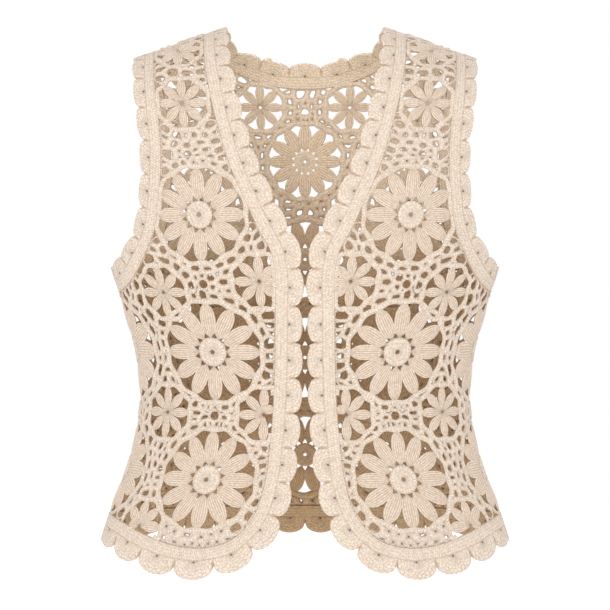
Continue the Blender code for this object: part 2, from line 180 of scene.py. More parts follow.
def form(w, q):
    """The worn place of a point of the cloth."""
    theta, side = angle_at(w)
    low, length = shoulder_curve(theta)
    turn = np.maximum(q - low, 0.0) / length * math.pi / 2
    height = np.minimum(q, low) + SHOULDER_ROUND * np.sin(turn)
    width, depth = section(height, theta)
    return columns(side * width * np.sin(theta), -depth * np.cos(theta) * np.cos(turn), height)


def directions(w, q, step=0.0005):
    """The form's two directions at a point, and its outward normal."""
    across = (form(w + step, q) - form(w - step, q)) / (2 * step)
    up = (form(w, q + step) - form(w, q - step)) / (2 * step)
    normal = np.cross(across, up)
    return across, up, normal / norm(normal, axis=-1, keepdims=True)


def real_size(w, q):
    """How many metres the form makes of one unit of w and of q, at one place."""
    across, up, _ = directions(np.asarray(w), np.asarray(q))
    return np.array([norm(across), norm(up)])


def cloth_height(degrees, height):
    """The height up the cloth of a height above the floor; None is the shoulder seam."""
    low, length = shoulder_curve(math.radians(min(degrees, 360.0 - degrees)))
    if height is None:
        return float(low + length)
    if height <= low:
        return height
    return float(low + length * math.asin((height - low) / SHOULDER_ROUND) / (math.pi / 2))


print("metres to a unit of cloth, at the centre back:", real_size(HALF_GIRTH, 0.0).round(2))


# %% [markdown]
# ## The lines between lace and edging
# A maker works the lace first, and then crochets the edging on to its outline: a few plain rows and
# a row of scallops. So the outline comes first here too, as a few measured points that a smooth
# curve runs through. Each line knows the way across itself, from the lace to the free edge.

# %% Lines
BAND = 0.0125
EDGINGS = {  # scallops, 1 if the free edge is on the right, else -1
    "front": (25, 1),
    "back_neck": (9, -1),
    "back_hem": (12, 1),
    "armhole": (19, -1),
}
WIDTHS = {  # height up the cloth, full width, depth of a scallop
    "front": (
        (-0.470, 0.0315, 0.0115), (-0.430, 0.0290, 0.0085),
        (-0.260, 0.0268, 0.0070), (-0.210, 0.0290, 0.0070),
    ),
    "back_neck": ((0.0, 0.0290, 0.0065),),
    "back_hem": ((-0.470, 0.0305, 0.0110),),
    "armhole": (
        (-0.240, 0.0275, 0.0050), (-0.210, 0.0262, 0.0058), (-0.150, 0.0245, 0.0062),
        (-0.080, 0.0258, 0.0062), (-0.030, 0.0295, 0.0062), (0.030, 0.0325, 0.0060),
    ),
}
PASSED = {  # scallops passed and the way along the edging; those without a row here are even
    "front": (
        (2.5, 0.0690), (4.5, 0.1280), (7.5, 0.2155), (9.5, 0.2795), (12.5, 0.3840), (15.5, 0.4850),
        (17.5, 0.5500), (19.5, 0.6230), (21.5, 0.7010),
    ),
}
FRONT_LINE = (  # degrees from the centre front, height
    (26.5, None), (25.6, -0.038), (23.5, -0.084), (20.7, -0.1256), (17.1, -0.1563), (13.1, -0.187),
    (9.8, -0.208), (8.8, -0.228), (9.2, -0.255), (10.6, -0.335), (11.7, -0.3945), (12.5, -0.4274),
    (16.1, -0.4655), (21.2, -0.4825), (29.0, -0.4900), (39.0, -0.4885), (51.0, -0.4806),
    (64.8, -0.4715), (80.0, -0.4670), (100.0, -0.4680), (118.0, -0.4700),
)
BACK_HEM_LINE = ((118.0, -0.4700), (150.0, -0.4710), (180.0, -0.4715))
BACK_NECK_LINE = ((153.5, None), (158.7, -0.0155), (163.3, -0.0245), (171.0, -0.0344), (180.0, -0.0375))
ARMHOLE_LINE = (
    (41.6, None), (41.4, -0.036), (41.0, -0.078), (42.2, -0.1188), (44.2, -0.1526), (46.8, -0.182),
    (50.5, -0.203), (55.3, -0.2195), (60.7, -0.2309), (67.0, -0.2390), (77.0, -0.2455), (90.0, -0.2475),
)


def path_through(line, samples=500):
    """A smooth path over the cloth through a line's rows, as closely spaced points (w, q)."""
    points = np.array([(way_of(degrees), cloth_height(degrees, height)) for degrees, height in line])
    known = running(norm(np.diff(points, axis=0), axis=1))
    at = np.linspace(0.0, known[-1], samples)
    return columns(smooth(at, known, points[:, 0]), smooth(at, known, points[:, 1]))


def mirrored_line(line, about=180.0):
    """The line and then its mirror image, about an angle, in one run."""
    return tuple(line) + tuple((2 * about - degrees, height) for degrees, height in reversed(line[:-1]))


print("scallops:", {name: count for name, (count, _) in EDGINGS.items()})


# %% The way across a line
class Edge:
    """The line between lace and edging, with the way across it towards the free edge."""

    def __init__(self, line, name):
        self.path = path_through(line)
        self.count, self.turn = EDGINGS[name]
        self.name = name
        across, up, normal = directions(*self.path.T)
        outward = self.turn * np.cross(np.gradient(form(*self.path.T), axis=0), normal)
        outward /= norm(outward, axis=1, keepdims=True)
        shares = ((outward * way).sum(axis=1) / (way * way).sum(axis=1) for way in (across, up))
        self.step = columns(*shares)
        middle = form(*(self.path + self.step * BAND).T)
        self.way = running(norm(np.diff(middle, axis=0), axis=1))

    def stations(self, parts):
        """Places along the line, so many to a scallop."""
        known = [(0.0, 0.0), *PASSED.get(self.name, ()), (self.count, self.way[-1])]
        return smooth(np.linspace(0.0, self.count, self.count * parts + 1), *zip(*known))

    def reach(self, station, phase):
        """How far out the free edge is at a phase from 0 to 1 of its scallop."""
        heights, widths, depths = zip(*WIDTHS[self.name])
        height = np.interp(station, self.way, self.path[:, 1])
        width, depth = np.interp(height, heights, widths), np.interp(height, heights, depths)
        return width - depth * (1 - np.sqrt(np.maximum(1 - (2 * phase - 1) ** 2, 0.0)))

    def at(self, station, distance):
        """The cloth points at distances across the edge, here."""
        here, step = (
            [np.interp(station, self.way, known[:, axis]) for axis in (0, 1)]
            for known in (self.path, self.step)
        )
        return columns(here[0] + step[0] * distance, here[1] + step[1] * distance)


SEAM_WAY = way_of(SIDE_SEAM_ANGLE)
FRONT = Edge(FRONT_LINE, "front")
NECK = Edge(mirrored_line(BACK_NECK_LINE), "back_neck")
HEM = Edge(mirrored_line(BACK_HEM_LINE), "back_hem")
ARMHOLE = Edge(mirrored_line(ARMHOLE_LINE, about=90.0), "armhole")
for line in (FRONT, NECK, HEM, ARMHOLE):
    print(line.name, "edging:", round(line.way[-1] * 1000), "mm,", line.count, "scallops")

# %% [markdown]
# ## Outlines of the panels
# The front's outline runs down the front line, up the side seam, up the armhole and back along the
# shoulder. The back's is drawn for one half and mirrored. Both are closed runs of cloth points.

# %% Outlines
LINE_PARTS = 5
SIDE_PARTS = 30
SHOULDER_PARTS = 8
SEAM_CLEAR = 0.002
UNDERARM_HEIGHT = -0.190


def lace_side(edge):
    """The lace's edge along a line."""
    return edge.at(edge.stations(LINE_PARTS), -SEAM_GAP / 2)


def armhole_height(w):
    """The cloth height of the armhole's lace edge near the underarm."""
    points = lace_side(ARMHOLE)
    low = points[points[:, 1] < UNDERARM_HEIGHT]
    order = np.argsort(low[:, 0])
    return float(np.interp(w, low[order, 0], low[order, 1]))


def on_seam(points, number):
    """Moves an end point on to the shoulder seam."""
    points[number, 1] = seam_height(points[number, 0]) - SEAM_GAP / 2


def along_shoulder(start, end):
    """Points along the shoulder seam, without its ends."""
    ways = np.linspace(start, end, SHOULDER_PARTS)[1:-1]
    return columns(ways, seam_height(ways) - SEAM_GAP / 2)


def along_side(way, start, end):
    """Points along a side seam."""
    return columns(np.full(SIDE_PARTS, way), np.linspace(start, end, SIDE_PARTS))


def front_outline():
    """Down the front line, up the side and the armhole, and back along the shoulder."""
    way = SEAM_WAY - SEAM_GAP / 2
    down = lace_side(FRONT)
    on_seam(down, 0)
    down[-1, 0] = way
    side = along_side(way, down[-1, 1], armhole_height(way))[1:]
    arm = lace_side(ARMHOLE)
    arm = arm[arm[:, 0] < SEAM_WAY - SEAM_CLEAR][::-1]
    on_seam(arm, -1)
    return joined(down, side, arm, along_shoulder(arm[-1, 0], down[0, 0]))


def back_outline():
    """From the middle of the neck down one half to the middle of the hem, and up the other."""
    way = SEAM_WAY + SEAM_GAP / 2
    neck = lace_side(NECK)
    neck = neck[: len(neck) // 2 + 1][::-1]
    on_seam(neck, -1)
    arm = lace_side(ARMHOLE)
    arm = arm[arm[:, 0] > SEAM_WAY + SEAM_CLEAR][::-1]
    on_seam(arm, 0)
    hem = lace_side(HEM)
    hem = hem[: len(hem) // 2 + 1]
    hem[0, 0] = way
    side = along_side(way, armhole_height(way), hem[0, 1])[:-1]
    half = joined(neck, along_shoulder(neck[-1, 0], arm[0, 0]), arm, side, hem)
    other = half[1:-1][::-1].copy()
    other[:, 0] = 2 * HALF_GIRTH - other[:, 0]
    return joined(half, other)


FRONT_CUT = front_outline()
BACK_CUT = back_outline()
print("points of the outlines:", len(FRONT_CUT), len(BACK_CUT))


# %% Inside, beside and how large
AREA_STEP = 0.006


def inside(points, outline):
    """Which points lie inside an outline."""
    result = np.zeros(len(points), bool)
    for (x0, y0), (x1, y1) in zip(outline, np.roll(outline, -1, axis=0)):
        crosses = (y0 > points[:, 1]) != (y1 > points[:, 1])
        if y1 != y0:
            result ^= crosses & (points[:, 0] < (x1 - x0) * (points[:, 1] - y0) / (y1 - y0) + x0)
    return result


def distance_to(points, outline):
    """How far points are from an outline, and the nearest place on it."""
    best = np.full(len(points), np.inf)
    place = np.zeros_like(points)
    for start, end in zip(outline, np.roll(outline, -1, axis=0)):
        line = end - start
        t = np.clip(((points - start) @ line) / max(line @ line, 1e-12), 0.0, 1.0)
        found = start + t[:, None] * line
        away = norm(points - found, axis=1)
        closer = away < best
        best = np.where(closer, away, best)
        place[closer] = found[closer]
    return best, place


def cut_area(outline):
    """The flat area of a panel, from the real sizes at each point of a grid over it."""
    ways = (np.arange(low, high, AREA_STEP) for low, high in zip(outline.min(axis=0), outline.max(axis=0)))
    grid = columns(*(values.ravel() for values in np.meshgrid(*ways)))
    across, up, _ = directions(*grid[inside(grid, outline)].T)
    return float(norm(np.cross(across, up), axis=1).sum() * AREA_STEP**2)


print("cut areas:", round(cut_area(FRONT_CUT), 4), round(cut_area(BACK_CUT), 4), "square metres")

# %% [markdown]
# ## Yarn as a swept tube
# Everything in crochet is one yarn, so most pieces here are one kind of mesh: a ring of points swept
# along a path. A cord's ring is round, and a petal's is wide, low and ridged like the strands of long
# stitches laid side by side. Curves with a bevel could do the cords, but thousands of curve objects
# are slow, while numpy places all the rings of a panel at once.


# %% A piece being worked
class Work:
    """The points and faces of one piece while it is being made."""

    def __init__(self):
        self.points, self.side, self.painted_shade = [], [], []
        self.faces, self.places, self.finish = [], [], []
        self.count = 0

    # the last argument is the painted shade of creases, valleys and rims at each point
    def add(self, points, side, faces, places, finish, painted_shade=0.0):
        self.points.append(points.reshape(-1, 3))
        for known, values in ((self.side, side), (self.painted_shade, painted_shade)):
            known.append(np.broadcast_to(values, points.shape[:-1]).reshape(-1))
        self.faces.append(faces + self.count)
        self.places.append(places)
        self.finish.append(np.full(len(faces), finish))
        self.count += points.size // 3

    def sweep(self, rings, side, across, along, finish, closed=False, painted_shade=0.0):
        """Many sweeps at once: rings (sweep, station, corner, xyz), with the yarn's own places."""
        many, stations, corners = rings.shape[:3]
        steps = stations if closed else stations - 1
        m, i, j, faces = quads(many, steps, stations, corners)
        along = np.broadcast_to(along, (many, steps + 1))
        across = np.broadcast_to(across, (corners + 1,))
        around = ((i, j), (i, j + 1), (i + 1, j + 1), (i + 1, j))
        places = np.stack([columns(along[m, at], across[corner]) for at, corner in around], axis=1)
        self.add(rings, side, faces, places, finish, painted_shade)


def quads(many, steps, stations, corners):
    """The sweep, station and corner that each quad starts from, and its four points."""
    m, i, j = (numbers.ravel() for numbers in np.indices((many, steps, corners)))
    onward, aside = (i + 1) % stations, (j + 1) % corners
    around = ((i, j), (i, aside), (onward, aside), (onward, j))
    return m, i, j, columns(*((m * stations + at) * corners + corner for at, corner in around))


print("faces between two rings of three points:", quads(1, 1, 2, 3)[-1].tolist())


# %% Cords
BUMP = 0.16  # how much a stitch swells its cord


def tubes(work, paths, normals, radius, sides, finish, closed=False, flat=0.8, stitch=None):
    """Round cords along many paths at once; stitch gives the length of a bump along the cord."""
    ahead = np.roll(paths, -1, axis=1)
    tangent = ahead - np.roll(paths, 1, axis=1) if closed else np.gradient(paths, axis=1)
    aside = np.cross(tangent, normals)
    aside /= np.maximum(norm(aside, axis=-1, keepdims=True), 1e-9)
    steps = norm(ahead - paths, axis=-1)
    along = joined(np.zeros((len(paths), 1)), np.cumsum(steps if closed else steps[:, :-1], axis=1), axis=1)
    radius = np.broadcast_to(np.asarray(radius, float), paths.shape[:2])
    if stitch:
        radius = radius * (1 + BUMP * np.cos(2 * np.pi * along[:, : paths.shape[1]] / stitch))
    turn = 2 * np.pi * (np.arange(sides) + 0.5) / sides
    rings = paths[:, :, None] + radius[:, :, None, None] * (
        flat * np.cos(turn)[:, None] * normals[:, :, None] + np.sin(turn)[:, None] * aside[:, :, None]
    )
    across = np.linspace(0.0, float(radius.mean()) * 2 * np.pi, sides + 1)
    # the half of a cord that faces the cloth counts as the wrong side, so it gets that side's painted light
    # and shade
    work.sweep(rings, np.cos(turn), across, along, finish, closed)


print("a stitch swells its cord by", BUMP, "of its radius")


# %% [markdown]
# ## Flowers
# Each flower is worked from the middle: a small ring, rounds of short stitches that make a disc, and
# then petals of long stitches drawn together at both ends, so that a petal is a fat leaf with the
# strands showing. A chain round the tips holds them, and some flowers have a second chain further in.
# Few flowers differ, so the tables give a leaf's outline in mm for a flower of the drawn radius, and
# the rest is scale, fullness and bluntness.

# %% Tables of the flowers
FRONT_LARGE = (  # degrees from the centre front, height up the cloth, radius
    (30.8, -0.172, 0.0435), (31.9, -0.304, 0.0460), (32.0, -0.4265, 0.0460), (87.0, -0.304, 0.0460),
    (87.0, -0.4215, 0.0440),
)
FRONT_SMALL = (
    (13.4, -0.236, 0.024), (48.0, -0.2465, 0.024), (13.9, -0.364, 0.024), (54.8, -0.3635, 0.024),
    (33.0, -0.0640, 0.024), (33.8, 0.002, 0.024), (55.0, -0.4735, 0.024),
)
BACK_LARGE = (
    (180.0, -0.112, 0.039), (180.0, -0.214, 0.039), (180.0, -0.316, 0.041), (180.0, -0.418, 0.041),
    (152.5, -0.112, 0.039), (150.0, -0.216, 0.041), (149.0, -0.312, 0.043), (149.0, -0.419, 0.043),
)
BACK_SMALL = (
    (167.7, -0.056, 0.023), (165.5, -0.163, 0.023), (164.5, -0.264, 0.023), (164.5, -0.367, 0.023),
    (130.0, -0.257, 0.023), (147.0, -0.041, 0.023),
)
KINDS = {  # petals, strands, drawn radius, lobes; rings: tips, inner, small gaps, outer; gaps in a ring
    "large": (12, 7, 46.0, 0.026, 1.085, 0.985, 1.185, 1.285, 24),
    "small": (8, 5, 24.0, 0.050, 1.130, 0.930, 1.360, 1.580, 12),
}
PETALS = {  # radius, half width, height above the cloth, all in mm
    "large": (
        (13.0, 0.05, 0.05), (16.2, 2.4, 1.4), (18.8, 5.3, 1.8), (24.0, 7.1, 2.2), (32.0, 7.6, 2.4),
        (38.5, 7.0, 2.3), (43.0, 5.4, 1.9), (46.2, 3.2, 1.4), (48.6, 0.05, 0.05),
    ),
    "small": (
        (1.5, 0.05, 0.05), (1.8, 0.80, 1.0), (4.6, 2.0, 1.4), (8.5, 3.4, 1.8), (13.0, 4.7, 2.0),
        (17.5, 4.8, 1.9), (21.5, 3.7, 1.6), (24.3, 2.1, 1.1), (25.9, 0.05, 0.05),
    ),
}
print("petals of each kind:", {kind: row[0] for kind, row in KINDS.items()})


# %% A flower and its measures
class Flower:
    """One flower on the cloth, with the cloth's real sizes at its centre."""

    def __init__(self, kind, way, height, radius):
        self.kind, self.centre, self.radius = kind, np.array([way, height]), radius
        self.size = real_size(way, height)
        self.petals, self.strands, self.drawn, self.lobes, *self.rounds, self.posts = KINDS[kind]
        self.drawn *= MM
        self.turn, self.fullness, self.bluntness, self.foot = 0.0, 1.0, 0.0, 1.0
        self.cord, self.second = 0.0026, ()

    def cloth(self, right, up):
        """Cloth points at real distances from the centre."""
        return self.centre[0] + right / self.size[0], self.centre[1] + up / self.size[1]

    def local(self, points):
        """Real distances from the centre of cloth points."""
        return (points - self.centre) * self.size

    def ring(self, share, number, offset=0.0):
        """Points round the flower, at a share of its radius."""
        turn = 2 * np.pi * (np.arange(number) + offset) / number + np.pi / 2
        reach = share * self.radius
        return columns(*self.cloth(reach * np.cos(turn), reach * np.sin(turn)))


def flowers_of(large, small, mirror=False):
    """A panel's flowers, and with mirror also those of its other half."""
    found = []
    for kind, rows in (("large", large), ("small", small)):
        for degrees, height, radius in rows:
            way = way_of(degrees)
            found.append(Flower(kind, way, height, radius))
            if mirror and way < HALF_GIRTH - 1e-6:
                found.append(Flower(kind, 2 * HALF_GIRTH - way, height, radius))
    return found


def on_form(w, q, height):
    """The worn place of a point that stands above the cloth."""
    return form(w, q) + directions(w, q)[2] * height[..., None]


FRONT_FLOWERS = flowers_of(FRONT_LARGE, FRONT_SMALL)
BACK_FLOWERS = flowers_of(BACK_LARGE, BACK_SMALL, mirror=True)
print("flowers:", len(FRONT_FLOWERS), "on a front,", len(BACK_FLOWERS), "on the back")


# %% Petals
STRAND_DEPTH = 0.34
STRAND = 0.0020
CROWN = 2.6  # the higher, the flatter a petal's top
VALLEY_SHADE = 0.5
UNDER_CORNERS = 5  # a petal that is seen from one side alone is plain below


def petal_rings(flower, direction, stretch, both):
    """The rings of a petal, from its foot to its tip, and how much painted shade each valley gets."""
    table = np.array(PETALS[flower.kind]) * flower.radius / flower.drawn * MM
    table[:, 1] *= flower.fullness * (1 + flower.bluntness * np.linspace(-0.3, 1.0, len(table)))
    table[1, 1] *= flower.foot
    reach = table[0, 0] + (table[:, 0] - table[0, 0]) * stretch
    top = np.linspace(-1.0, 1.0, 2 * flower.strands + 1)
    under = (top if both else np.linspace(-1.0, 1.0, UNDER_CORNERS))[1:-1][::-1]
    place = joined(top, under)
    upper = joined(np.ones(len(top)), -np.ones(len(under)))
    between = (np.cos(np.pi * flower.strands * (place + 1)) + 1) / 2
    crown = np.sqrt(np.maximum(1 - np.abs(place) ** CROWN, 0.0)) * (1 - STRAND_DEPTH * between) * upper
    aside = table[:, 1:2] * place
    ahead, turned = math.cos(direction), math.sin(direction)
    right = reach[:, None] * ahead + aside * turned
    up = reach[:, None] * turned - aside * ahead
    side = upper * (np.abs(place) <= 0.99)
    rings = on_form(*flower.cloth(right, up), table[:, 2:3] * crown)
    return rings, side, reach, np.broadcast_to(VALLEY_SHADE * between**2, right.shape)


print("rings and corners of a petal:", petal_rings(FRONT_FLOWERS[0], 0.0, 1.0, False)[0].shape[:2])


# %% Room for a petal
PAST_TIP = 1.06  # a petal needs this much of the flower's radius
LEAST_PETAL = 0.45  # a petal with less room than this share is left out
NEAREST = 0.2  # where the search for the end of the room starts, as a share of the radius
ROOM_STEPS = 30


def petal_stretch(flower, direction, outline, reach):
    """How much of a petal's length there is room for."""
    along = np.linspace(NEAREST, PAST_TIP, ROOM_STEPS) * reach
    line = flower.cloth(along * math.cos(direction), along * math.sin(direction))
    within = inside(columns(*line), outline)
    if within.all():
        return 1.0
    return float(along[np.argmin(within)] / (PAST_TIP * reach)) if within[0] else 0.0


def add_petals(work, flower, outline, both):
    """Works the petals that there is room for, and counts them."""
    foot = PETALS[flower.kind][0][0] * MM / flower.drawn
    made = 0
    for petal in range(flower.petals):
        direction = math.pi / 2 + 2 * math.pi * (petal + flower.turn) / flower.petals
        room = petal_stretch(flower, direction, outline, flower.radius)
        if room < LEAST_PETAL:
            continue
        rings, side, reach, painted_shade = petal_rings(flower, direction, (room - foot) / (1 - foot), both)
        across = np.arange(rings.shape[1] + 1) * STRAND / 2
        work.sweep(rings[None], side, across, reach[None], finish=0, painted_shade=painted_shade[None])
        made += 1
    return made


print("petals of the first flower:", add_petals(Work(), FRONT_FLOWERS[0], FRONT_CUT, False))


# %% Discs
ROW = 0.0031
STITCH = 0.0025
SPOKES = 24
ROUND_PITCH = 4.5 * MM  # how far apart the rounds of a disc are worked
SPOKE_DEPTH = 0.14
DISC = (  # radius, height in mm, share of the radial stitches
    (2.0, 0.0, 0.0), (2.4, 0.9, 0.0), (3.6, 1.4, 0.3), (4.7, 1.15, 0.2), (6.6, 1.5, 1.0),
    (8.6, 1.2, 0.6), (11.0, 1.6, 1.0), (13.4, 1.1, 0.6), (14.3, 0.0, 0.0),
)


def add_disc(work, flower):
    """The rounds of short stitches in the middle of a large flower."""
    table = np.array(DISC)[:, :2] * flower.radius / flower.drawn * MM
    number = np.arange(2 * SPOKES)
    turn = np.pi * number[:, None] / SPOKES
    reach = joined(table[:, 0], table[1:-1, 0][::-1])
    ridge = SPOKE_DEPTH * np.where(number % 2, -1.0, 1.0)[:, None] * np.array(DISC)[:, 2]
    height = table[:, 1] * (1 + ridge)
    height = joined(height, -height[:, 1:-1][:, ::-1], axis=1)
    rings = on_form(*flower.cloth(reach * np.cos(turn), reach * np.sin(turn)), height)
    side = joined([0.0], np.ones(len(table) - 2), [0.0], -np.ones(len(table) - 2))
    along = np.arange(2 * SPOKES + 1) * STITCH / 2
    across = joined(reach, reach[:1]) * ROW / ROUND_PITCH
    work.sweep(rings[None], side, across, along[None], finish=2, closed=True)


print("a disc has", len(DISC), "rings and", SPOKES, "spokes")


# %% The chain round the tips
CHAIN_STITCH = 4.1 * MM
CHAIN_FLAT = 0.6  # how high the chain is, as a share of its width
TIP_POINTS = 7  # points of the chain to a petal
TIP_REACH = 0.012  # a chain this little outside the panel is laid along its edge
WHOLE = -2.0  # the least share of the radius, to the right of the centre, that a whole chain has


def add_tip_ring(work, flower, outline, sides):
    """The chain that joins the tips of the petals, where there is room for it, and any second one."""
    number = flower.petals * TIP_POINTS
    turn = 2 * np.pi * np.arange(number) / number
    lobes = flower.lobes * np.cos(flower.petals * turn - 2 * np.pi * flower.turn)
    for inset, least in ((0.0, WHOLE), *flower.second):
        reach = flower.radius * (flower.rounds[0] - lobes - inset)
        right, up = reach * np.cos(turn + np.pi / 2), reach * np.sin(turn + np.pi / 2)
        points = columns(*flower.cloth(right, up))
        within = inside(points, outline)
        away, nearest = distance_to(points, outline)
        beyond = ~within & (away < TIP_REACH)
        points[beyond] = nearest[beyond]
        add_run(work, points, (within | beyond) & (right > least * reach), flower.cord, sides)


def add_run(work, points, within, radius, sides):
    """A closed ring of cord, or the parts of it that are within the panel."""
    whole, runs = bool(within.all()), [points]
    if not whole:
        start = int(np.argmin(within))
        points, within = np.roll(points, -start, axis=0), np.roll(within, -start)
        changes = np.flatnonzero(np.diff(joined([0], within.astype(int), [0])))
        runs = [points[first:last] for first, last in zip(changes[::2], changes[1::2]) if last - first > 2]
    for run in runs:
        places, normal = form(*run.T)[None], directions(*run.T)[2][None]
        tubes(work, places, normal, radius, sides, 1, closed=whole, flat=CHAIN_FLAT, stitch=CHAIN_STITCH)


print("points of the chain round a large flower:", TIP_POINTS * FRONT_FLOWERS[0].petals)


# %% [markdown]
# ## The net between the flowers
# Between the flowers a maker fills in with chains that meet at knots, so every gap is a small cell.
# A drawing of each chain would take a long list. Instead the gaps are placed, one point for each:
# rings of them round the flowers, a row beside each edging, and the rest as close as they fit. The
# knots are then the middles of the triangles between neighbouring gaps, which is how a net settles.

# %% Places of the gaps
ALONG_EDGE = 0.0086
CLEAR = 0.0024  # from the chain round the tips to a gap
STRETCH = np.array([1.12, 1.0])
PROBE = 0.003  # a step from the outline that tells which side of it is inside


def apart(points, others):
    """Each point's distance from the nearest of the others, in real size."""
    if not len(others):
        return np.full(len(points), np.inf)
    return norm((points[:, None] - others[None]) * STRETCH, axis=2).min(axis=1)


def clear_of(points, flowers):
    """Which points lie outside the tips of every flower."""
    return np.all([norm(f.local(points), axis=1) > f.radius * f.rounds[0] + CLEAR for f in flowers], axis=0)


def spaced_outline(outline, step):
    """Evenly spaced points along an outline, and the way in from each."""
    closed = joined(outline, outline[:1])
    way = running(norm(np.diff(closed, axis=0) * STRETCH, axis=1))
    at = np.linspace(0.0, way[-1], max(int(way[-1] / step), 8), endpoint=False)
    line = columns(*(np.interp(at, way, closed[:, axis]) for axis in (0, 1)))
    ahead = np.roll(line, -1, axis=0) - np.roll(line, 1, axis=0)
    inward = columns(-ahead[:, 1], ahead[:, 0])
    inward /= norm(inward, axis=1, keepdims=True)
    return line, inward if inside(line + inward * PROBE, outline).mean() > 0.5 else -inward


print("places along a front's outline:", len(spaced_outline(FRONT_CUT, ALONG_EDGE)[0]))


# %% Rings and rows of gaps
LEAST = 0.0066  # two gaps are at least this far apart
LEAST_AT_EDGE = 0.92 * LEAST
FILL = 0.0081
FILL_ROWS = 0.87  # how far apart the rows of a close pattern are, for places one apart
JITTER = 0.0011
FROM_EDGE = 0.0043  # from the panel's edge to the row of gaps beside it
RING_CLEAR = 0.0030  # the least way from the edge to a gap of a flower's ring
FILL_CLEAR = 0.006  # and to a gap of the rows
ROSETTE = 0.0093  # from the eye of a rosette to the ring of gaps round it
ROSETTE_GAPS = 7
ROSETTES = ((32.0, -0.3655), (31.4, -0.2385), (33.0, -0.1150))  # degrees, height


def fill_rows(outline, seed):
    """Rows of places over a whole panel, every other row shifted, all a little out of line."""
    rng = np.random.default_rng(seed)
    low, high = outline.min(axis=0), outline.max(axis=0)
    for number, q in enumerate(np.arange(low[1], high[1], FILL * FILL_ROWS)):
        w = np.arange(low[0] + (number % 2) * FILL / 2 / STRETCH[0], high[0], FILL / STRETCH[0])
        yield columns(w, np.full(len(w), q)) + rng.uniform(-JITTER, JITTER, (len(w), 2))


def gap_places(outline, flowers, rosettes, seed):
    """Every gap of a net, the flower whose ring it is in or -1, places beyond the edge, and eyes."""
    gaps, owners, eyes = np.zeros((0, 2)), [], []

    def keep(points, owner=-1):
        nonlocal gaps
        gaps = joined(gaps, points)
        owners.extend([owner] * len(points))

    line, inward = spaced_outline(outline, ALONG_EDGE)
    for number, flower in enumerate(flowers):
        ring = flower.ring(flower.rounds[2], flower.posts, 0.5)
        good = inside(ring, outline) & (distance_to(ring, outline)[0] > RING_CLEAR) & clear_of(ring, flowers)
        keep(ring[good & (apart(ring, gaps) > LEAST)], number)
    for degrees, height in rosettes:
        middle = Flower("small", way_of(degrees), height, ROSETTE)
        eyes.append(len(gaps))
        keep(joined(middle.centre[None], middle.ring(1.0, ROSETTE_GAPS)))
    border = line + inward * FROM_EDGE
    good = inside(border, outline) & clear_of(border, flowers)
    keep(border[good & (apart(border, gaps) > LEAST_AT_EDGE)])
    for row in fill_rows(outline, seed):
        away, _ = distance_to(row, outline)
        for point in row[inside(row, outline) & (away > FILL_CLEAR) & clear_of(row, flowers)]:
            if apart(point[None], gaps)[0] > LEAST:
                keep(point[None])
    return gaps, owners, line - inward * FROM_EDGE, eyes


print("rows of places over a front:", len(list(fill_rows(FRONT_CUT, 1))))


# %% Knots
GAP, TIPS, OUTSIDE = 0, 1, 2  # what a place of the net is: a gap, a flower, or beyond the panel
CHAIN_WIDTH = 0.0036
TUCK = 0.0020  # how far the net runs in under the edging
RING_REACH = 0.0045  # a knot this near a flower's outer ring is moved on to it


def net_of(outline, flowers, rosettes, seed):
    """The knots of a net, for each gap the knots and neighbours round it, and what each place is."""
    gaps, owners, outer, eyes = gap_places(outline, flowers, rosettes, seed)
    tips = [flower.ring(flower.rounds[1], flower.posts, 0.5) for flower in flowers]
    tip_owners = np.repeat(np.arange(len(flowers)), [len(ring) for ring in tips])
    places = joined(gaps, *tips, outer)
    kind = np.repeat([GAP, TIPS, OUTSIDE], [len(gaps), len(tip_owners), len(outer)])
    owner = joined(owners, tip_owners, np.full(len(outer), -1)).astype(int)
    found = delaunay_2d_cdt([Vector(point) for point in places * STRETCH], [], [], 0, 1e-7)
    source = np.array([ids[0] if ids else 0 for ids in found[3]])
    triangles = source[np.array(found[2])]
    knots = places[triangles].mean(axis=1)
    gap, tip, outside = (kind[triangles] == sort for sort in (GAP, TIPS, OUTSIDE))
    with_gap = gap.any(axis=1)
    for number, flower in enumerate(flowers):
        away = flower.local(knots)
        reach = norm(away, axis=1)
        own = owner[triangles] == number
        touching = (tip & own).any(axis=1) & with_gap
        beside = (gap & own).any(axis=1) & (gap & ~own).any(axis=1) & gap.all(axis=1)
        beside &= np.abs(reach - flower.radius * flower.rounds[3]) < RING_REACH
        for chosen, share in ((touching, flower.rounds[0]), (beside, flower.rounds[3])):
            scaled = away[chosen] / reach[chosen, None] * flower.radius * share
            knots[chosen] = flower.centre + scaled / flower.size
    at_edge = np.flatnonzero(outside.any(axis=1) & with_gap & ~tip.any(axis=1))
    on_line = distance_to(knots[at_edge], outline)[1]
    beyond = places[triangles[at_edge, outside[at_edge].argmax(axis=1)]]
    towards = (beyond - on_line) / norm(beyond - on_line, axis=1, keepdims=True)
    knots[at_edge] = on_line + towards * TUCK
    return knots, fans_of(triangles, kind), kind, eyes


def fans_of(triangles, kind):
    """For each gap, its number, the knots in turn round it and the neighbour that each side faces."""
    beside = {}
    for number, triangle in enumerate(triangles):
        for corner in range(3):
            gap, after, before = (int(triangle[(corner + step) % 3]) for step in range(3))
            if kind[gap] == GAP:
                beside.setdefault(gap, {})[after] = (before, number)
    fans = []
    for gap, fan in beside.items():
        after, ring, facing = next(iter(fan)), [], []
        while after in fan and len(ring) < len(fan):
            after, number = fan[after]
            ring.append(number)
            facing.append(after)
        if len(ring) == len(fan) and len(ring) > 2:
            fans.append((gap, ring, facing))
    return fans


print("the net runs", round(TUCK * 1000, 1), "mm in under the edging")


# %% [markdown]
# ### Its cloth
# Tubes along the chains would leave a pile of ends at each knot. A net of worked yarn looks more like
# one cloth with rounded gaps in it, so each gap is a rounded hole, and rings of points climb from its
# rim to a ridge halfway to its neighbours. Points of the ridge are shared, so the cloth has no seam.

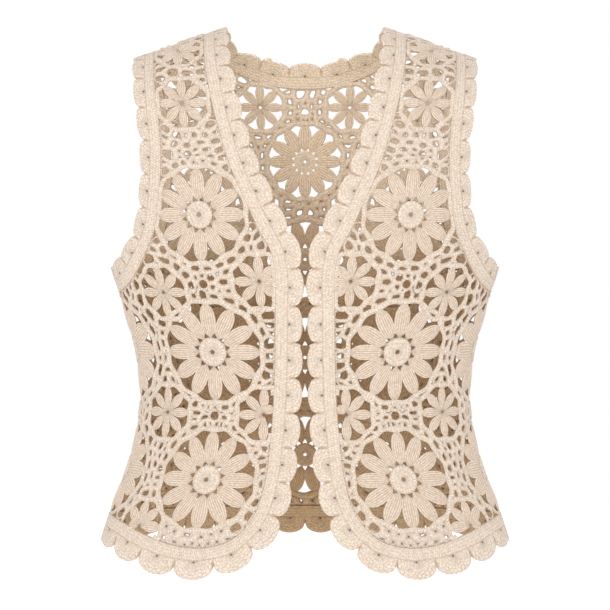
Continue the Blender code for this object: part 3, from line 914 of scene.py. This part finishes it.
# %% A rounded hole
EDGE_INSET = {GAP: 1.0, TIPS: 1.35, OUTSIDE: 0.75}  # share of the chain's half width that each side takes
ROUNDING = 5.0
LEAST_ROOM = 0.00035  # a side leaves a hole at least this much
SHORT_SIDE = 0.0003  # a side shorter than this has no say
MOST_HOLE = 0.9  # of the way to the ridge
CLOSER = ((97.0, 1.0), (103.0, 2.0), (120.0, 2.0), (124.0, 1.2))  # degrees, share of a chain's width


def hole_radii(border, corners, inset):
    """How far the rounded hole reaches towards each border point, from the middle of the gap."""
    line = np.roll(corners, -1, axis=0) - corners
    length = np.maximum(norm(line, axis=1), 1e-9)
    outward = columns(line[:, 1], -line[:, 0]) / length[:, None]
    room = np.maximum((outward * corners).sum(axis=1) - inset, LEAST_ROOM)
    reach = norm(border, axis=1)
    towards = np.maximum((border / reach[:, None]) @ outward.T, 0.0) / room
    weight = np.where(length > SHORT_SIDE, 1.0, 0.0)
    found = ((towards**ROUNDING) * weight).sum(axis=1) ** (-1 / ROUNDING)
    return np.minimum(found, reach * MOST_HOLE), reach


def chain_at(chain, w, q):
    """Half the width of a chain at a place of the cloth."""
    degrees, share = zip(*CLOSER)
    ways = [way_of(angle) for angle in degrees]
    return float(np.interp(q, *zip(*chain)) * np.interp(min(w, 2 * HALF_GIRTH - w), ways, share))


square = np.array([(4, 4), (-4, 4), (-4, -4), (4, -4)]) * MM
print("hole in an 8 mm square, mm:", (hole_radii(square, square, CHAIN_WIDTH / 2)[0] / MM).round(1))


# %% From the holes to the ridges
UPPER = ((0.42, 0.90), (0.78, 0.58), (1.0, 0.0))  # share of the way in from the ridge, share of its height
UNDER = ((0.60, 0.74),)
# painted shade towards the rim of each hole
RIM_SHADE = 0.7
EYE_SHARE = 0.35
RELIEF = 0.85  # height of a ridge, in half widths
RELIEF_SPREAD = (0.85, 1.2)  # shares of that, from ridge to ridge
MOST_RELIEF = 0.0032  # a ridge between closed gaps is as high as one of this half width


class NetCloth:
    """The points of a net, each (w, q, height, side, shade), with those that neighbours share."""

    def __init__(self, chain, rng):
        self.chain, self.rng, self.rows, self.shared = chain, rng, [], {}

    def point(self, place, height, side, shade=0.0):
        self.rows.append((*place, height, side, shade))
        return len(self.rows) - 1

    def ring(self, places, heights, side, shade=0.0):
        return [self.point(place, height, side, shade) for place, height in zip(places, heights)]

    def ridge(self, key, place, at_rim):
        """The two points of a shared place, above and below; on an outer rim they are one."""
        if key not in self.shared:
            half = min(chain_at(self.chain, *place), MOST_RELIEF) * RELIEF * self.rng.uniform(*RELIEF_SPREAD)
            above = self.point(place, 0.0 if at_rim else half, 0.0 if at_rim else 1.0)
            self.shared[key] = (above, above if at_rim else self.point(place, -half, -1.0))
        return self.shared[key]


print("bands of faces round a gap:", len(UPPER) + len(UNDER) + 1)


# %% Working a net
CLOSED = 0.0009  # a hole with a smaller radius is only a dimple, whose middle still gets the painted shade of a hole's rim
DIMPLE = 0.1
HOLE_SPREAD = (0.93, 1.05)  # how uneven the rim of a hole is


def rim_knots(fans, kind):
    """The knots on a side that faces no gap."""
    found = set()
    for _, ring, facing in fans:
        rim = [kind[meets] != GAP for meets in facing]
        found.update(number for number, here, before in zip(ring, rim, rim[-1:] + rim) if here or before)
    return found


def add_net(work, net, chain, variety, seed):
    """Works the cloth round every gap of a net."""
    knots, fans, kind, eyes = net
    rng = np.random.default_rng(seed)
    cloth, at_rim = NetCloth(chain, rng), rim_knots(fans, kind)
    faces, spots = [], []
    for gap, ring, facing in fans:
        corners = knots[ring]
        middle = corners.mean(axis=0)
        size = real_size(*middle)
        half = chain_at(chain, *middle) * (EYE_SHARE if gap in eyes else rng.choice(variety))
        inset = half * np.array([EDGE_INSET[kind[meets]] for meets in facing])
        halfway = (corners + np.roll(corners, -1, axis=0)) / 2
        local = (joined(corners, halfway, axis=1).reshape(-1, 2) - middle) * size
        radii, reach = hole_radii(local, (corners - middle) * size, inset)
        radii *= rng.uniform(*HOLE_SPREAD, len(radii))
        if radii.mean() < CLOSED:
            radii *= DIMPLE
        hole = local * (radii / reach)[:, None]
        outer = []
        for number, after, meets in zip(ring, ring[1:] + ring[:1], facing):
            outer.append(cloth.ridge(number, knots[number], number in at_rim))
            between = (knots[number] + knots[after]) / 2
            outer.append(cloth.ridge(tuple(sorted((number, after))), between, kind[meets] != GAP))
        above, below = zip(*outer)
        peak = np.array([cloth.rows[index][2] for index in above]) * 0.5
        peak += min(half, MOST_RELIEF) * RELIEF * 0.5
        way = running(norm(np.diff(local, axis=0, append=local[:1]), axis=1))
        runs = [(above, 0.0)]
        for shares, turned in ((UPPER, 1), (UNDER, -1)):
            made = []
            for share, rise in shares:
                places = middle + (local * (1 - share) + hole * share) / size
                shade = RIM_SHADE * share**6 if turned > 0 else 0.0
                made.append((cloth.ring(places, turned * peak * rise, turned * rise, shade), share))
            runs += made[::turned]
        runs.append((below, 0.0))
        for (first, start), (second, end) in zip(runs, runs[1:]):
            low, high = CHAIN_WIDTH / 2 + start * half, CHAIN_WIDTH / 2 + end * half
            for n in range(len(outer)):
                onward = (n + 1) % len(outer)
                faces.append((first[n], first[onward], second[onward], second[n]))
                spots.append(((way[n], low), (way[n + 1], low), (way[n + 1], high), (way[n], high)))
    w, q, height, side, shade = np.array(cloth.rows).T
    work.add(on_form(w, q, height), side, np.array(faces), np.array(spots), 1, shade)
    return len(fans)


print("least radius of an open hole:", round(CLOSED * 1000, 1), "mm")


# %% [markdown]
# ## Edgings
# An edging is worked along the outline: plain rows whose stitches lie side by side, then fans of
# stitches that make the scallops, each round a small eye. One strip of rings follows the line. Its
# upper and under sides carry the rows as low ridges, straight in the band and round the eye in
# each scallop, so a light from the side picks them out.

# %% The ends of a strip
FAN = 16  # stations to a scallop
END_REACH = 0.016


def end_shift(points, stations, rule, at_end):
    """Moves the end of a strip on to its seam, and what is near it by less."""
    if rule is None:
        return points
    last = -1 if at_end else 0
    share = np.clip(1 - np.abs(stations - stations[last]) / END_REACH, 0.0, 1.0) ** 2
    return points + share[:, None, None] * (rule(points[last]) - points[last])[None]


def to_shoulder(points):
    """The rule for an end at the shoulder seam."""
    return columns(points[:, 0], seam_height(points[:, 0]) - SEAM_GAP / 2)


def to_side(way):
    """The rule for an end at a side seam."""
    return lambda points: columns(np.full(len(points), way), points[:, 1])


def strip_area(edge):
    """The flat area of an edging, scallops and all."""
    stations = edge.stations(FAN)
    phase = (np.arange(len(stations)) % FAN) / FAN
    return float(edge.reach(stations, phase).mean() * edge.way[-1])


print("area of the hem's strip:", round(strip_area(HEM), 4), "square metres")


# %% Rows and relief of a strip
BAND_ROWS = 11
FAN_ROWS = 12
EYE = 0.0018  # from the band to the middle of a scallop's eye
EYE_FLAT = 0.0024  # no ridge is nearer the eye
THICKNESS = 0.0012  # half of the strip's
RIDGE = 0.0005
FIRST_ROUND = 0.0008  # from the eye to the first round of stitches
LACE_LINE = 0.0006  # from the lace to the line of painted shade beside it
LINE = 0.0007
CUSP = 0.0009  # width of the groove between two scallops, which also gets painted shade
CUSP_LENGTH = 0.004  # the groove is at its deepest this far from the band
LAST_ROW = 0.82  # how thick the last row is, as a share


def bell(distance, width):
    """1 at no distance, and nearly 0 at twice the width."""
    return np.exp(-((distance / width) ** 2))


def strip_rows(reach):
    """Distances of the rows from the lace at each station: the band's, then the scallop's."""
    band = joined([0.0, 0.05], np.linspace(0.12, 1.0, BAND_ROWS - 2)) * BAND + SEAM_GAP / 2
    fan = joined(np.linspace(0.0, 0.90, FAN_ROWS - 2), [0.965, 1.0])[1:]
    return joined(np.tile(band, (len(reach), 1)), BAND + (reach[:, None] - BAND) * fan, axis=1)


def strip_relief(distance, along, pitch):
    """Half the thickness of the strip at each point, and how much painted shade its creases get there."""
    away = np.hypot(along, distance - BAND - EYE)
    round_rows = np.where(away < EYE_FLAT, 1.0, np.abs(np.sin(np.pi * (away - FIRST_ROUND) / ROW)))
    ridge = np.where(distance < BAND, np.abs(np.sin(np.pi * distance / ROW)), round_rows)
    cusp = bell(np.abs(along) - pitch / 2, CUSP) * np.clip((distance - BAND) / CUSP_LENGTH, 0, 1)
    # painted shade along the line between band and scallops, in the groove between scallops and beside the
    # lace
    painted_shade = 0.25 * bell(distance - BAND, LINE) + 0.65 * cusp + 0.5 * bell(distance - LACE_LINE, LINE)
    height = THICKNESS + RIDGE * ridge
    height -= 0.0003 * bell(distance - BAND, 0.0008) + 0.0003 * bell(away, 0.0009) + 0.0005 * cusp
    height[:, [0, -1]] = 0.0
    height[:, -2] *= LAST_ROW
    return height, painted_shade


print("rows of a strip:", strip_rows(np.array([2 * BAND])).shape[1])


# %% Working a strip
def add_edging(work, edge, start=None, end=None):
    """Works an edging along a line; one without ends is closed."""
    stations = edge.stations(FAN)
    number = np.arange(len(stations))
    phase = (number % FAN) / FAN
    distance = strip_rows(edge.reach(stations, phase))
    cloth = end_shift(edge.at(stations[:, None], distance), stations, start, False)
    cloth = end_shift(cloth, stations, end, True)
    pitch = np.diff(stations[::FAN])
    pitch = np.append(pitch, pitch[-1])[number // FAN][:, None]
    height, painted_shade = strip_relief(distance, (phase[:, None] - 0.5) * pitch, pitch)
    w, q = cloth[..., 0], cloth[..., 1]
    rows = distance.shape[1]
    order = joined(np.arange(rows), np.arange(rows)[1:-1][::-1])
    side = joined([0.0], np.ones(rows - 2), [0.0], -np.ones(rows - 2))
    if edge.turn < 0:
        order, side = np.roll(order[::-1], 1), np.roll(side[::-1], 1)
    rings = on_form(w[:, order], q[:, order], side * height[:, order])
    painted_shade = painted_shade[:, order]
    if end is None:
        rings, painted_shade = rings[:-1], painted_shade[:-1]
    _, i, j, faces = quads(1, len(stations) - 1, len(rings), len(order))
    here, aside = order[j], order[(j + 1) % len(order)]
    in_fan = np.minimum(here, aside) >= BAND_ROWS - 1
    spots = []
    for at, row in ((i, here), (i, aside), (i + 1, aside), (i + 1, here)):
        far = distance[at, row]
        from_eye = columns((at / FAN - i // FAN - 0.5) * pitch[i, 0], far - BAND - EYE)
        spots.append(np.where(in_fan[:, None], from_eye, columns(stations[at], far)))
    work.add(rings, side, faces, np.stack(spots, axis=1), in_fan.astype(int), painted_shade)


print("stations of an armhole's strip:", len(ARMHOLE.stations(FAN)))


# %% [markdown]
# ## Yarn as a material
# Cotton yarn is matt, with fine loose fibres and small shadows between the stitches. One colour map
# would blur close up, so each effect is a node group that every finish can use: one draws rows of
# slanting stitches from the places along and across the yarn, with painted shade in the gaps between
# them, one bends flat places round the eye of a scallop and marks the eye for painted shade, and one
# draws the fleck and fluff of the fibre. Painted shade also darkens the creases, petal valleys and hole
# rims that the mesh marks. The wrong side of the cloth is painted with the light and shade it gets
# inside the vest: a little lighter near the top, and darker tan lower down.

# %% Short words for nodes
class Nodes:
    """Makes and joins the nodes of one tree."""

    def __init__(self, tree):
        self.tree = tree

    def node(self, kind, **settings):
        made = self.tree.nodes.new(kind)
        for name, value in settings.items():
            setattr(made, name, value)
        return made

    def put(self, value, socket):
        """Sets a number or a colour on a socket, or joins another node to it."""
        if isinstance(value, (int, float, tuple)):
            socket.default_value = value
        else:
            self.tree.links.new(value, socket)

    def fill(self, node, values):
        """Puts values on a node's inputs, by name or number, and gives its outputs."""
        for name, value in values.items():
            self.put(value, node.inputs[name])
        return node.outputs

    def maths(self, operation, *values):
        return self.fill(self.node("ShaderNodeMath", operation=operation), dict(enumerate(values)))[0]

    def mixed(self, factor, first, second, blend="MIX"):
        made = self.node("ShaderNodeMix", data_type="RGBA", blend_type=blend)
        return self.fill(made, {0: factor, 6: first, 7: second})[2]

    def ramp(self, value, low, high, start=0.0, end=1.0):
        """Turns smoothly from start to end while the value goes from low to high."""
        made = self.node("ShaderNodeMapRange", interpolation_type="SMOOTHSTEP")
        return self.fill(made, dict(enumerate((value, low, high, start, end))))[0]

    def noise(self, place, scale, detail):
        made = self.node("ShaderNodeTexNoise")
        return self.fill(made, {"Vector": place, "Scale": scale, "Detail": detail})[0]

    def group(self, tree, values):
        return self.fill(self.node("ShaderNodeGroup", node_tree=tree), values)


def new_group(name, inputs, outputs):
    """A group's tree, words for its nodes, what comes in and what goes out. A Place is a vector."""
    tree = bpy.data.node_groups.new(name, "ShaderNodeTree")
    for in_out, sockets in (("INPUT", inputs), ("OUTPUT", dict.fromkeys(outputs))):
        for socket, value in sockets.items():
            kind = "NodeSocketVector" if socket == "Place" else "NodeSocketFloat"
            made = tree.interface.new_socket(name=socket, in_out=in_out, socket_type=kind)
            if value is not None:
                made.default_value = value
    nodes = Nodes(tree)
    return tree, nodes, nodes.node("NodeGroupInput").outputs, nodes.node("NodeGroupOutput")


print("short words:", [word for word in vars(Nodes) if word[0] != "_"])


# %% Rows of stitches
def stitch_rows_group():
    """Humps of slanting stitches in rows, and the shade in the gaps between them."""
    inputs = {"Place": None, "Row": 0.003, "Stitch": 0.0026, "Slant": 0.7, "Joint": 1.0, "Groove": 1.0}
    tree, nodes, given, end = new_group("stitch rows", inputs, ("Height", "Gap"))
    maths = nodes.maths
    parts = nodes.fill(nodes.node("ShaderNodeSeparateXYZ"), {0: given["Place"]})
    rows = maths("DIVIDE", parts["Y"], given["Row"])
    row = maths("FLOOR", rows)
    across = maths("SUBTRACT", rows, row)
    lean = maths("MULTIPLY", maths("ABSOLUTE", maths("SUBTRACT", across, 0.5)), given["Slant"])
    along = maths("ADD", maths("DIVIDE", parts["X"], given["Stitch"]), lean)
    along = maths("ADD", along, maths("MULTIPLY", row, 0.5))
    hump = maths("ABSOLUTE", maths("SINE", maths("MULTIPLY", along, math.pi)))
    hump = maths("SUBTRACT", 1.0, maths("MULTIPLY", maths("SUBTRACT", 1.0, hump), given["Joint"]))
    ridge = maths("SINE", maths("MULTIPLY", across, math.pi))
    ridge = maths("MAXIMUM", ridge, maths("SUBTRACT", 1.0, given["Groove"]))
    height = maths("MULTIPLY", maths("POWER", hump, 0.7), maths("POWER", ridge, 0.6))
    nodes.fill(end, {"Height": height, "Gap": nodes.ramp(height, 0.0, 0.50, 1.0, 0.0)})
    return tree


STITCHES = stitch_rows_group()
print("node group:", STITCHES.name)



# %% Places round an eye, and the fibre
def round_places_group():
    """Turns flat places about the eye of a scallop into places round it, and marks the eye, which gets
    painted shade.
    """
    inputs = {"Place": None, "Turn": 0.0085, "Eye": 0.001}
    tree, nodes, given, end = new_group("round places", inputs, ("Place", "Eye shade"))
    maths = nodes.maths
    parts = nodes.fill(nodes.node("ShaderNodeSeparateXYZ"), {0: given["Place"]})
    squares = [maths("POWER", parts[axis], 2.0) for axis in "XY"]
    away = maths("SQRT", maths("ADD", *squares))
    turned = maths("MULTIPLY", maths("ARCTAN2", parts["X"], parts["Y"]), given["Turn"])
    placed = nodes.fill(nodes.node("ShaderNodeCombineXYZ"), {"X": turned, "Y": away})[0]
    hole = nodes.ramp(maths("DIVIDE", away, given["Eye"]), 0.7, 1.3, 1.0, 0.0)
    nodes.fill(end, {"Place": placed, "Eye shade": hole})
    return tree


def yarn_fibre_group():
    """Soft flecks of shade in the yarn, and the fluff on it."""
    inputs = {"Place": None, "Fleck size": 0.002}
    tree, nodes, given, end = new_group("yarn fibre", inputs, ("Fleck", "Fluff"))
    scale = nodes.maths("DIVIDE", 1.0, given["Fleck size"])
    fleck = nodes.ramp(nodes.noise(given["Place"], scale, 2.0), 0.36, 0.66)
    fluff = nodes.noise(given["Place"], nodes.maths("MULTIPLY", scale, 2.7), 3.0)
    nodes.fill(end, {"Fleck": fleck, "Fluff": fluff})
    return tree


ROUND, FIBRE = round_places_group(), yarn_fibre_group()
print("node groups:", [group.name for group in bpy.data.node_groups])

# %% Finishes
CREAM = (0.745, 0.645, 0.550, 1.0)
CREAM_SHADE = (0.615, 0.500, 0.390, 1.0)
STITCH_SHADE = (0.410, 0.290, 0.190, 1.0)
# painted shade: the brown put into creases, petal valleys, hole rims and the eyes of scallops
SHADE_BROWN = (0.290, 0.155, 0.065, 1.0)
WRONG_SIDE_PAINTED_LIGHT = (1.16, 1.14, 1.05, 1.0)  # painted light and shade of the wrong side: these two multiply the colour of the right side, lighter near the top and darker tan lower down
WRONG_SIDE_PAINTED_SHADE = (0.78, 0.64, 0.45, 1.0)
DEEP = (-0.13, -0.24)  # heights between which the painted shade of the inside turns from light to deep
MATT = {"Roughness": 0.88, "Specular IOR Level": 0.22, "Sheen Weight": 0.12, "Sheen Roughness": 0.6}


def new_material(name, looks):
    """A material, its shader, and words for its nodes; the looks are plain values on the shader."""
    material = bpy.data.materials.new(name)
    material.use_nodes = True
    shader = material.node_tree.nodes["Principled BSDF"]
    nodes = Nodes(material.node_tree)
    nodes.fill(shader, looks)
    return material, shader, nodes


def yarn(name, row, stitch, slant, joint, groove, depth, shade, eye=None):
    """One finish of the cotton yarn, in straight rows or round an eye."""
    material, shader, nodes = new_material(name, MATT)
    place = nodes.node("ShaderNodeUVMap", uv_map="yarn").outputs[0]
    if eye:
        around = nodes.group(ROUND, {"Place": place, "Eye": eye})
        place = around["Place"]
    rows = {"Place": place, "Row": row, "Stitch": stitch, "Slant": slant, "Joint": joint, "Groove": groove}
    stitches = nodes.group(STITCHES, rows)
    solid = nodes.node("ShaderNodeTexCoord").outputs["Object"]
    fibre = nodes.group(FIBRE, {"Place": solid, "Fleck size": 0.0022})
    side = nodes.node("ShaderNodeAttribute", attribute_name="side").outputs["Color"]
    upper, deep, painted_shade = nodes.fill(nodes.node("ShaderNodeSeparateColor"), {0: side})[:3]
    colour = nodes.mixed(fibre["Fleck"], CREAM, CREAM_SHADE)
    colour = nodes.mixed(nodes.maths("MULTIPLY", stitches["Gap"], shade), colour, STITCH_SHADE)
    # painted shade in creases, petal valleys, hole rims and the lines of the edgings
    colour = nodes.mixed(painted_shade, colour, SHADE_BROWN)
    if eye:
        # the eye of a scallop gets painted shade
        colour = nodes.mixed(around["Eye shade"], colour, SHADE_BROWN)
    # the wrong side gets painted light near the top and painted shade, darker tan, lower down
    wrong_side_painted = nodes.mixed(1.0, colour, nodes.mixed(deep, WRONG_SIDE_PAINTED_LIGHT, WRONG_SIDE_PAINTED_SHADE), "MULTIPLY")
    colour = nodes.mixed(nodes.ramp(upper, 0.56, 0.34), colour, wrong_side_painted)
    height = nodes.maths("ADD", stitches["Height"], nodes.maths("MULTIPLY", fibre["Fluff"], 0.5))
    bump = nodes.fill(nodes.node("ShaderNodeBump"), {"Distance": depth, "Strength": 0.8, "Height": height})
    nodes.fill(shader, {"Base Color": colour, "Normal": bump[0]})
    return material


LONG_STITCHES = yarn("long stitches", STRAND, 0.0070, 0.3, 0.10, 1.0, 0.0004, 0.35)
CHAINS = yarn("chains", CHAIN_WIDTH, 0.0030, 0.8, 0.9, 0.7, 0.0010, 0.95)
ROWS = yarn("rows of stitches", ROW, STITCH, 0.8, 0.9, 0.75, 0.0009, 0.90)
FANS = yarn("fans of stitches", ROW, STITCH, 0.8, 0.9, 0.75, 0.0009, 0.90, eye=0.0010)
print("finishes:", [material.name for material in (LONG_STITCHES, CHAINS, ROWS, FANS)])


# %% From arrays to an object
def placed_object(name, data):
    """An object of the scene."""
    made = bpy.data.objects.new(name, data)
    bpy.context.scene.collection.objects.link(made)
    return made


def finished(name, work, materials, mirror=False):
    """Makes the object, mirrored for the other side of the body if asked."""
    points, faces, places = joined(*work.points), joined(*work.faces), joined(*work.places)
    if mirror:
        points = points * np.array([-1.0, 1.0, 1.0])
        faces, places = faces[:, ::-1], places[:, ::-1]
    mesh = bpy.data.meshes.new(name)
    mesh.vertices.add(len(points))
    mesh.vertices.foreach_set("co", points.ravel())
    mesh.loops.add(faces.size)
    mesh.loops.foreach_set("vertex_index", faces.ravel().astype(np.int32))
    mesh.polygons.add(len(faces))
    mesh.polygons.foreach_set("loop_start", np.arange(0, faces.size, 4, dtype=np.int32))
    mesh.polygons.foreach_set("material_index", joined(*work.finish).astype(np.int32))
    mesh.update(calc_edges=True)
    mesh.uv_layers.new(name="yarn").data.foreach_set("uv", places.ravel().astype(np.float32))
    # the colour attribute holds which side faces out, how deep in the painted shade of the inside a point
    # lies by its height, and the painted shade of creases
    upper = joined(*work.side) * 0.5 + 0.5
    deep = (points[:, 2] - DEEP[0]) / (DEEP[1] - DEEP[0])
    colours = np.clip(columns(upper, deep, joined(*work.painted_shade), np.ones(len(points))), 0, 1)
    shade = mesh.attributes.new("side", "FLOAT_COLOR", "POINT")
    shade.data.foreach_set("color", colours.ravel().astype(np.float32))
    mesh.shade_smooth()
    mesh.validate()
    for material in materials:
        mesh.materials.append(material)
    print(name, 2 * len(faces), "triangles")
    return placed_object(name, mesh)


# %% [markdown]
# ## The panels
# Each panel is flowers and net on one piece of cloth. It takes the place of its solid, which is hidden.

# %% Working a panel
def lace_panel(outline, flowers, seed, chain, variety, both, sides, rosettes):
    """Works a panel's flowers and net; with both, its petals are ridged on both sides."""
    work = Work()
    petals = 0
    for flower in flowers:
        petals += add_petals(work, flower, outline, both)
        if flower.kind == "large":
            add_disc(work, flower)
        add_tip_ring(work, flower, outline, sides)
    gaps = add_net(work, net_of(outline, flowers, rosettes, seed), chain, variety, seed)
    print(len(flowers), "flowers,", petals, "petals,", gaps, "gaps")
    return work


def declare(piece, node, area):
    """Puts the piece on its body and hides the solid it stands for; the area is not used."""
    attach(piece, "root")
    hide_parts(node)


print("ready to work", len(FRONT_FLOWERS + BACK_FLOWERS), "flowers")


# %% The fronts
FRONT_CHAIN = (  # height up the cloth, half width of a chain
    (-0.483, 0.0058), (-0.476, 0.0042), (-0.462, 0.0027), (-0.240, 0.0024), (-0.130, 0.0028),
)
FRONT_VARIETY = (0.66, 0.82, 0.95, 1.0, 1.05, 1.15, 1.25)  # shares of that, from gap to gap
SIDE_FROM = 80.0  # degrees; beyond this a flower is seen from its side
FULL, FULLER, BLUNT = 1.06, 1.25, 0.2
for flower in FRONT_FLOWERS:
    at_side = flower.centre[0] > way_of(SIDE_FROM)
    at_end = not -0.45 <= flower.centre[1] <= 0
    flower.fullness = FULLER if at_side or at_end else FULL
    if at_side:
        flower.bluntness, flower.second = BLUNT, ((0.07, 0.2),)
FRONT_LACE = lace_panel(FRONT_CUT, FRONT_FLOWERS, 11, FRONT_CHAIN, FRONT_VARIETY, False, 8, ROSETTES)
for side, mirror in (("left", False), ("right", True)):
    panel = finished(f"lace_front_{side}", FRONT_LACE, [LONG_STITCHES, CHAINS, ROWS], mirror)
    declare(panel, f"front_{side}", cut_area(FRONT_CUT))

# %% The back
BACK_CHAIN = ((-0.455, 0.0040), (-0.420, 0.0036), (-0.220, 0.0035), (-0.160, 0.0024))
BACK_VARIETY = (0.92, 1.0, 1.0, 1.05, 1.10)
BACK_ROSETTES = ((180.0, -0.0610),)
CLOSE_BELOW = -0.15  # the back is closer below this, and its middle flowers stand half a petal round
CLOSE_FORM = {"large": (1.25, 0.6, 0.0038), "small": (1.25, 0.6, 0.0030)}  # fullness, bluntness, cord
OPEN_FORM = {"large": (1.08, 0.0, 0.0034), "small": (1.0, 0.0, 0.0033)}
FEWER_STRANDS = {"large": 2, "small": 1}
OPEN_FOOT, OPEN_SIZE = 1.4, 0.95
MIDDLE_FORM = (0.5, 0.98, 0.2)  # turn, fullness, bluntness
for flower in BACK_FLOWERS:
    close, large = flower.centre[1] < CLOSE_BELOW, flower.kind == "large"
    flower.fullness, flower.bluntness, flower.cord = (CLOSE_FORM if close else OPEN_FORM)[flower.kind]
    if not close:
        flower.strands -= FEWER_STRANDS[flower.kind]
        if large:
            flower.foot, flower.radius = OPEN_FOOT, flower.radius * OPEN_SIZE
    elif large and flower.centre[0] == HALF_GIRTH:
        flower.turn, flower.fullness, flower.bluntness = MIDDLE_FORM
    elif large:
        flower.second = ((0.075, WHOLE),)
BACK_LACE = lace_panel(BACK_CUT, BACK_FLOWERS, 12, BACK_CHAIN, BACK_VARIETY, True, 6, BACK_ROSETTES)
panel = finished("lace_back", BACK_LACE, [LONG_STITCHES, CHAINS, ROWS])
declare(panel, "back", cut_area(BACK_CUT))

# %% Working the edgings
FRONT_END = to_side(SEAM_WAY - SEAM_GAP / 2)
BACK_ENDS = to_side(SEAM_WAY + SEAM_GAP / 2), to_side(2 * HALF_GIRTH - SEAM_WAY - SEAM_GAP / 2)
for name, edge, ends, sides in (
    ("front_edging", FRONT, (to_shoulder, FRONT_END), ("_left", "_right")),
    ("armhole_edging", ARMHOLE, (), ("_left", "_right")),
    ("back_neck_edging", NECK, (to_shoulder, to_shoulder), ("",)),
    ("back_hem_edging", HEM, BACK_ENDS, ("",)),
):
    work = Work()
    add_edging(work, edge, *ends)
    width = max(row[1] for row in WIDTHS[edge.name])
    for side in sides:
        piece = finished(f"rows_{name}{side}", work, [ROWS, FANS], mirror=side == "_right")
        declare(piece, name + side, strip_area(edge))

# %% [markdown]
# ## The studio
# The vest is shown over a wide pale floor, with white light from all round, as in a light tent. One
# broad lamp from the upper left and a weaker one from the lower right model the stitches, and one
# behind lights the inside. So the gaps shade themselves; the inside is darker than the front from this
# light, and lower down also from shade painted into the colour of its wrong side. The camera is level
# and 2.2 m away.

# %% Floor
FLOOR_HEIGHT = -0.78
FLOOR_RADIUS = 14.0
FLOOR_SIDES = 64


def floor():
    """A wide round sheet of pale paper."""
    turn = 2 * np.pi * np.arange(FLOOR_SIDES) / FLOOR_SIDES
    level = np.full(FLOOR_SIDES, FLOOR_HEIGHT)
    points = columns(FLOOR_RADIUS * np.cos(turn), FLOOR_RADIUS * np.sin(turn), level)
    mesh = bpy.data.meshes.new("floor")
    mesh.from_pydata(points.tolist(), [], [list(range(FLOOR_SIDES))])
    looks = {"Base Color": (1.0, 1.0, 1.0, 1.0), "Roughness": 0.9, "Specular IOR Level": 0.1}
    mesh.materials.append(new_material("pale paper", looks)[0])
    placed_object("floor", mesh)


floor()
print("floor at", FLOOR_HEIGHT)

# %% Light
LIGHTS = (  # name, place, size, power
    ("broad light", (-0.5, -2.3, 0.7), 1.2, 21.0),
    ("fill light", (0.9, -2.3, -0.1), 1.6, 7.0),
    ("light behind", (0.7, 2.3, 0.8), 1.2, 14.0),
)
AIM = (0.0, 0.0, -0.24)


def light(name, place, size, power):
    """A round soft light, aimed at the middle of the vest."""
    lamp = bpy.data.lights.new(name, "AREA")
    lamp.shape, lamp.size, lamp.energy = "DISK", size, power
    holder = placed_object(name, lamp)
    holder.location = place
    holder.rotation_euler = (Vector(AIM) - Vector(place)).to_track_quat("-Z", "Y").to_euler()


for row in LIGHTS:
    light(*row)
world = bpy.data.worlds.new("studio")
world.use_nodes = True
tent = world.node_tree.nodes["Background"]
Nodes(world.node_tree).fill(tent, {"Color": (1.0, 1.0, 1.0, 1.0), "Strength": 1.0})
bpy.context.scene.world = world
bpy.context.scene.view_settings.view_transform = "Standard"
print("lights:", [row[0] for row in LIGHTS])

# %% Camera
DISTANCE = 2.2
CAMERA_HEIGHT = -0.225
VIEW_WIDTH = 0.610  # what the picture spans at the vest
VEST_LOWERED = 0.035  # how far below the picture's middle the camera's height is seen
lens = bpy.data.cameras.new("camera")
lens.sensor_width = 36.0
lens.lens = DISTANCE / VIEW_WIDTH * lens.sensor_width
lens.shift_y = -VEST_LOWERED / VIEW_WIDTH
camera = placed_object("camera", lens)
camera.location = (0.0, -DISTANCE, CAMERA_HEIGHT)
camera.rotation_euler = (math.pi / 2, 0.0, 0.0)
bpy.context.scene.camera = camera
print("lens", round(lens.lens, 1), "mm")
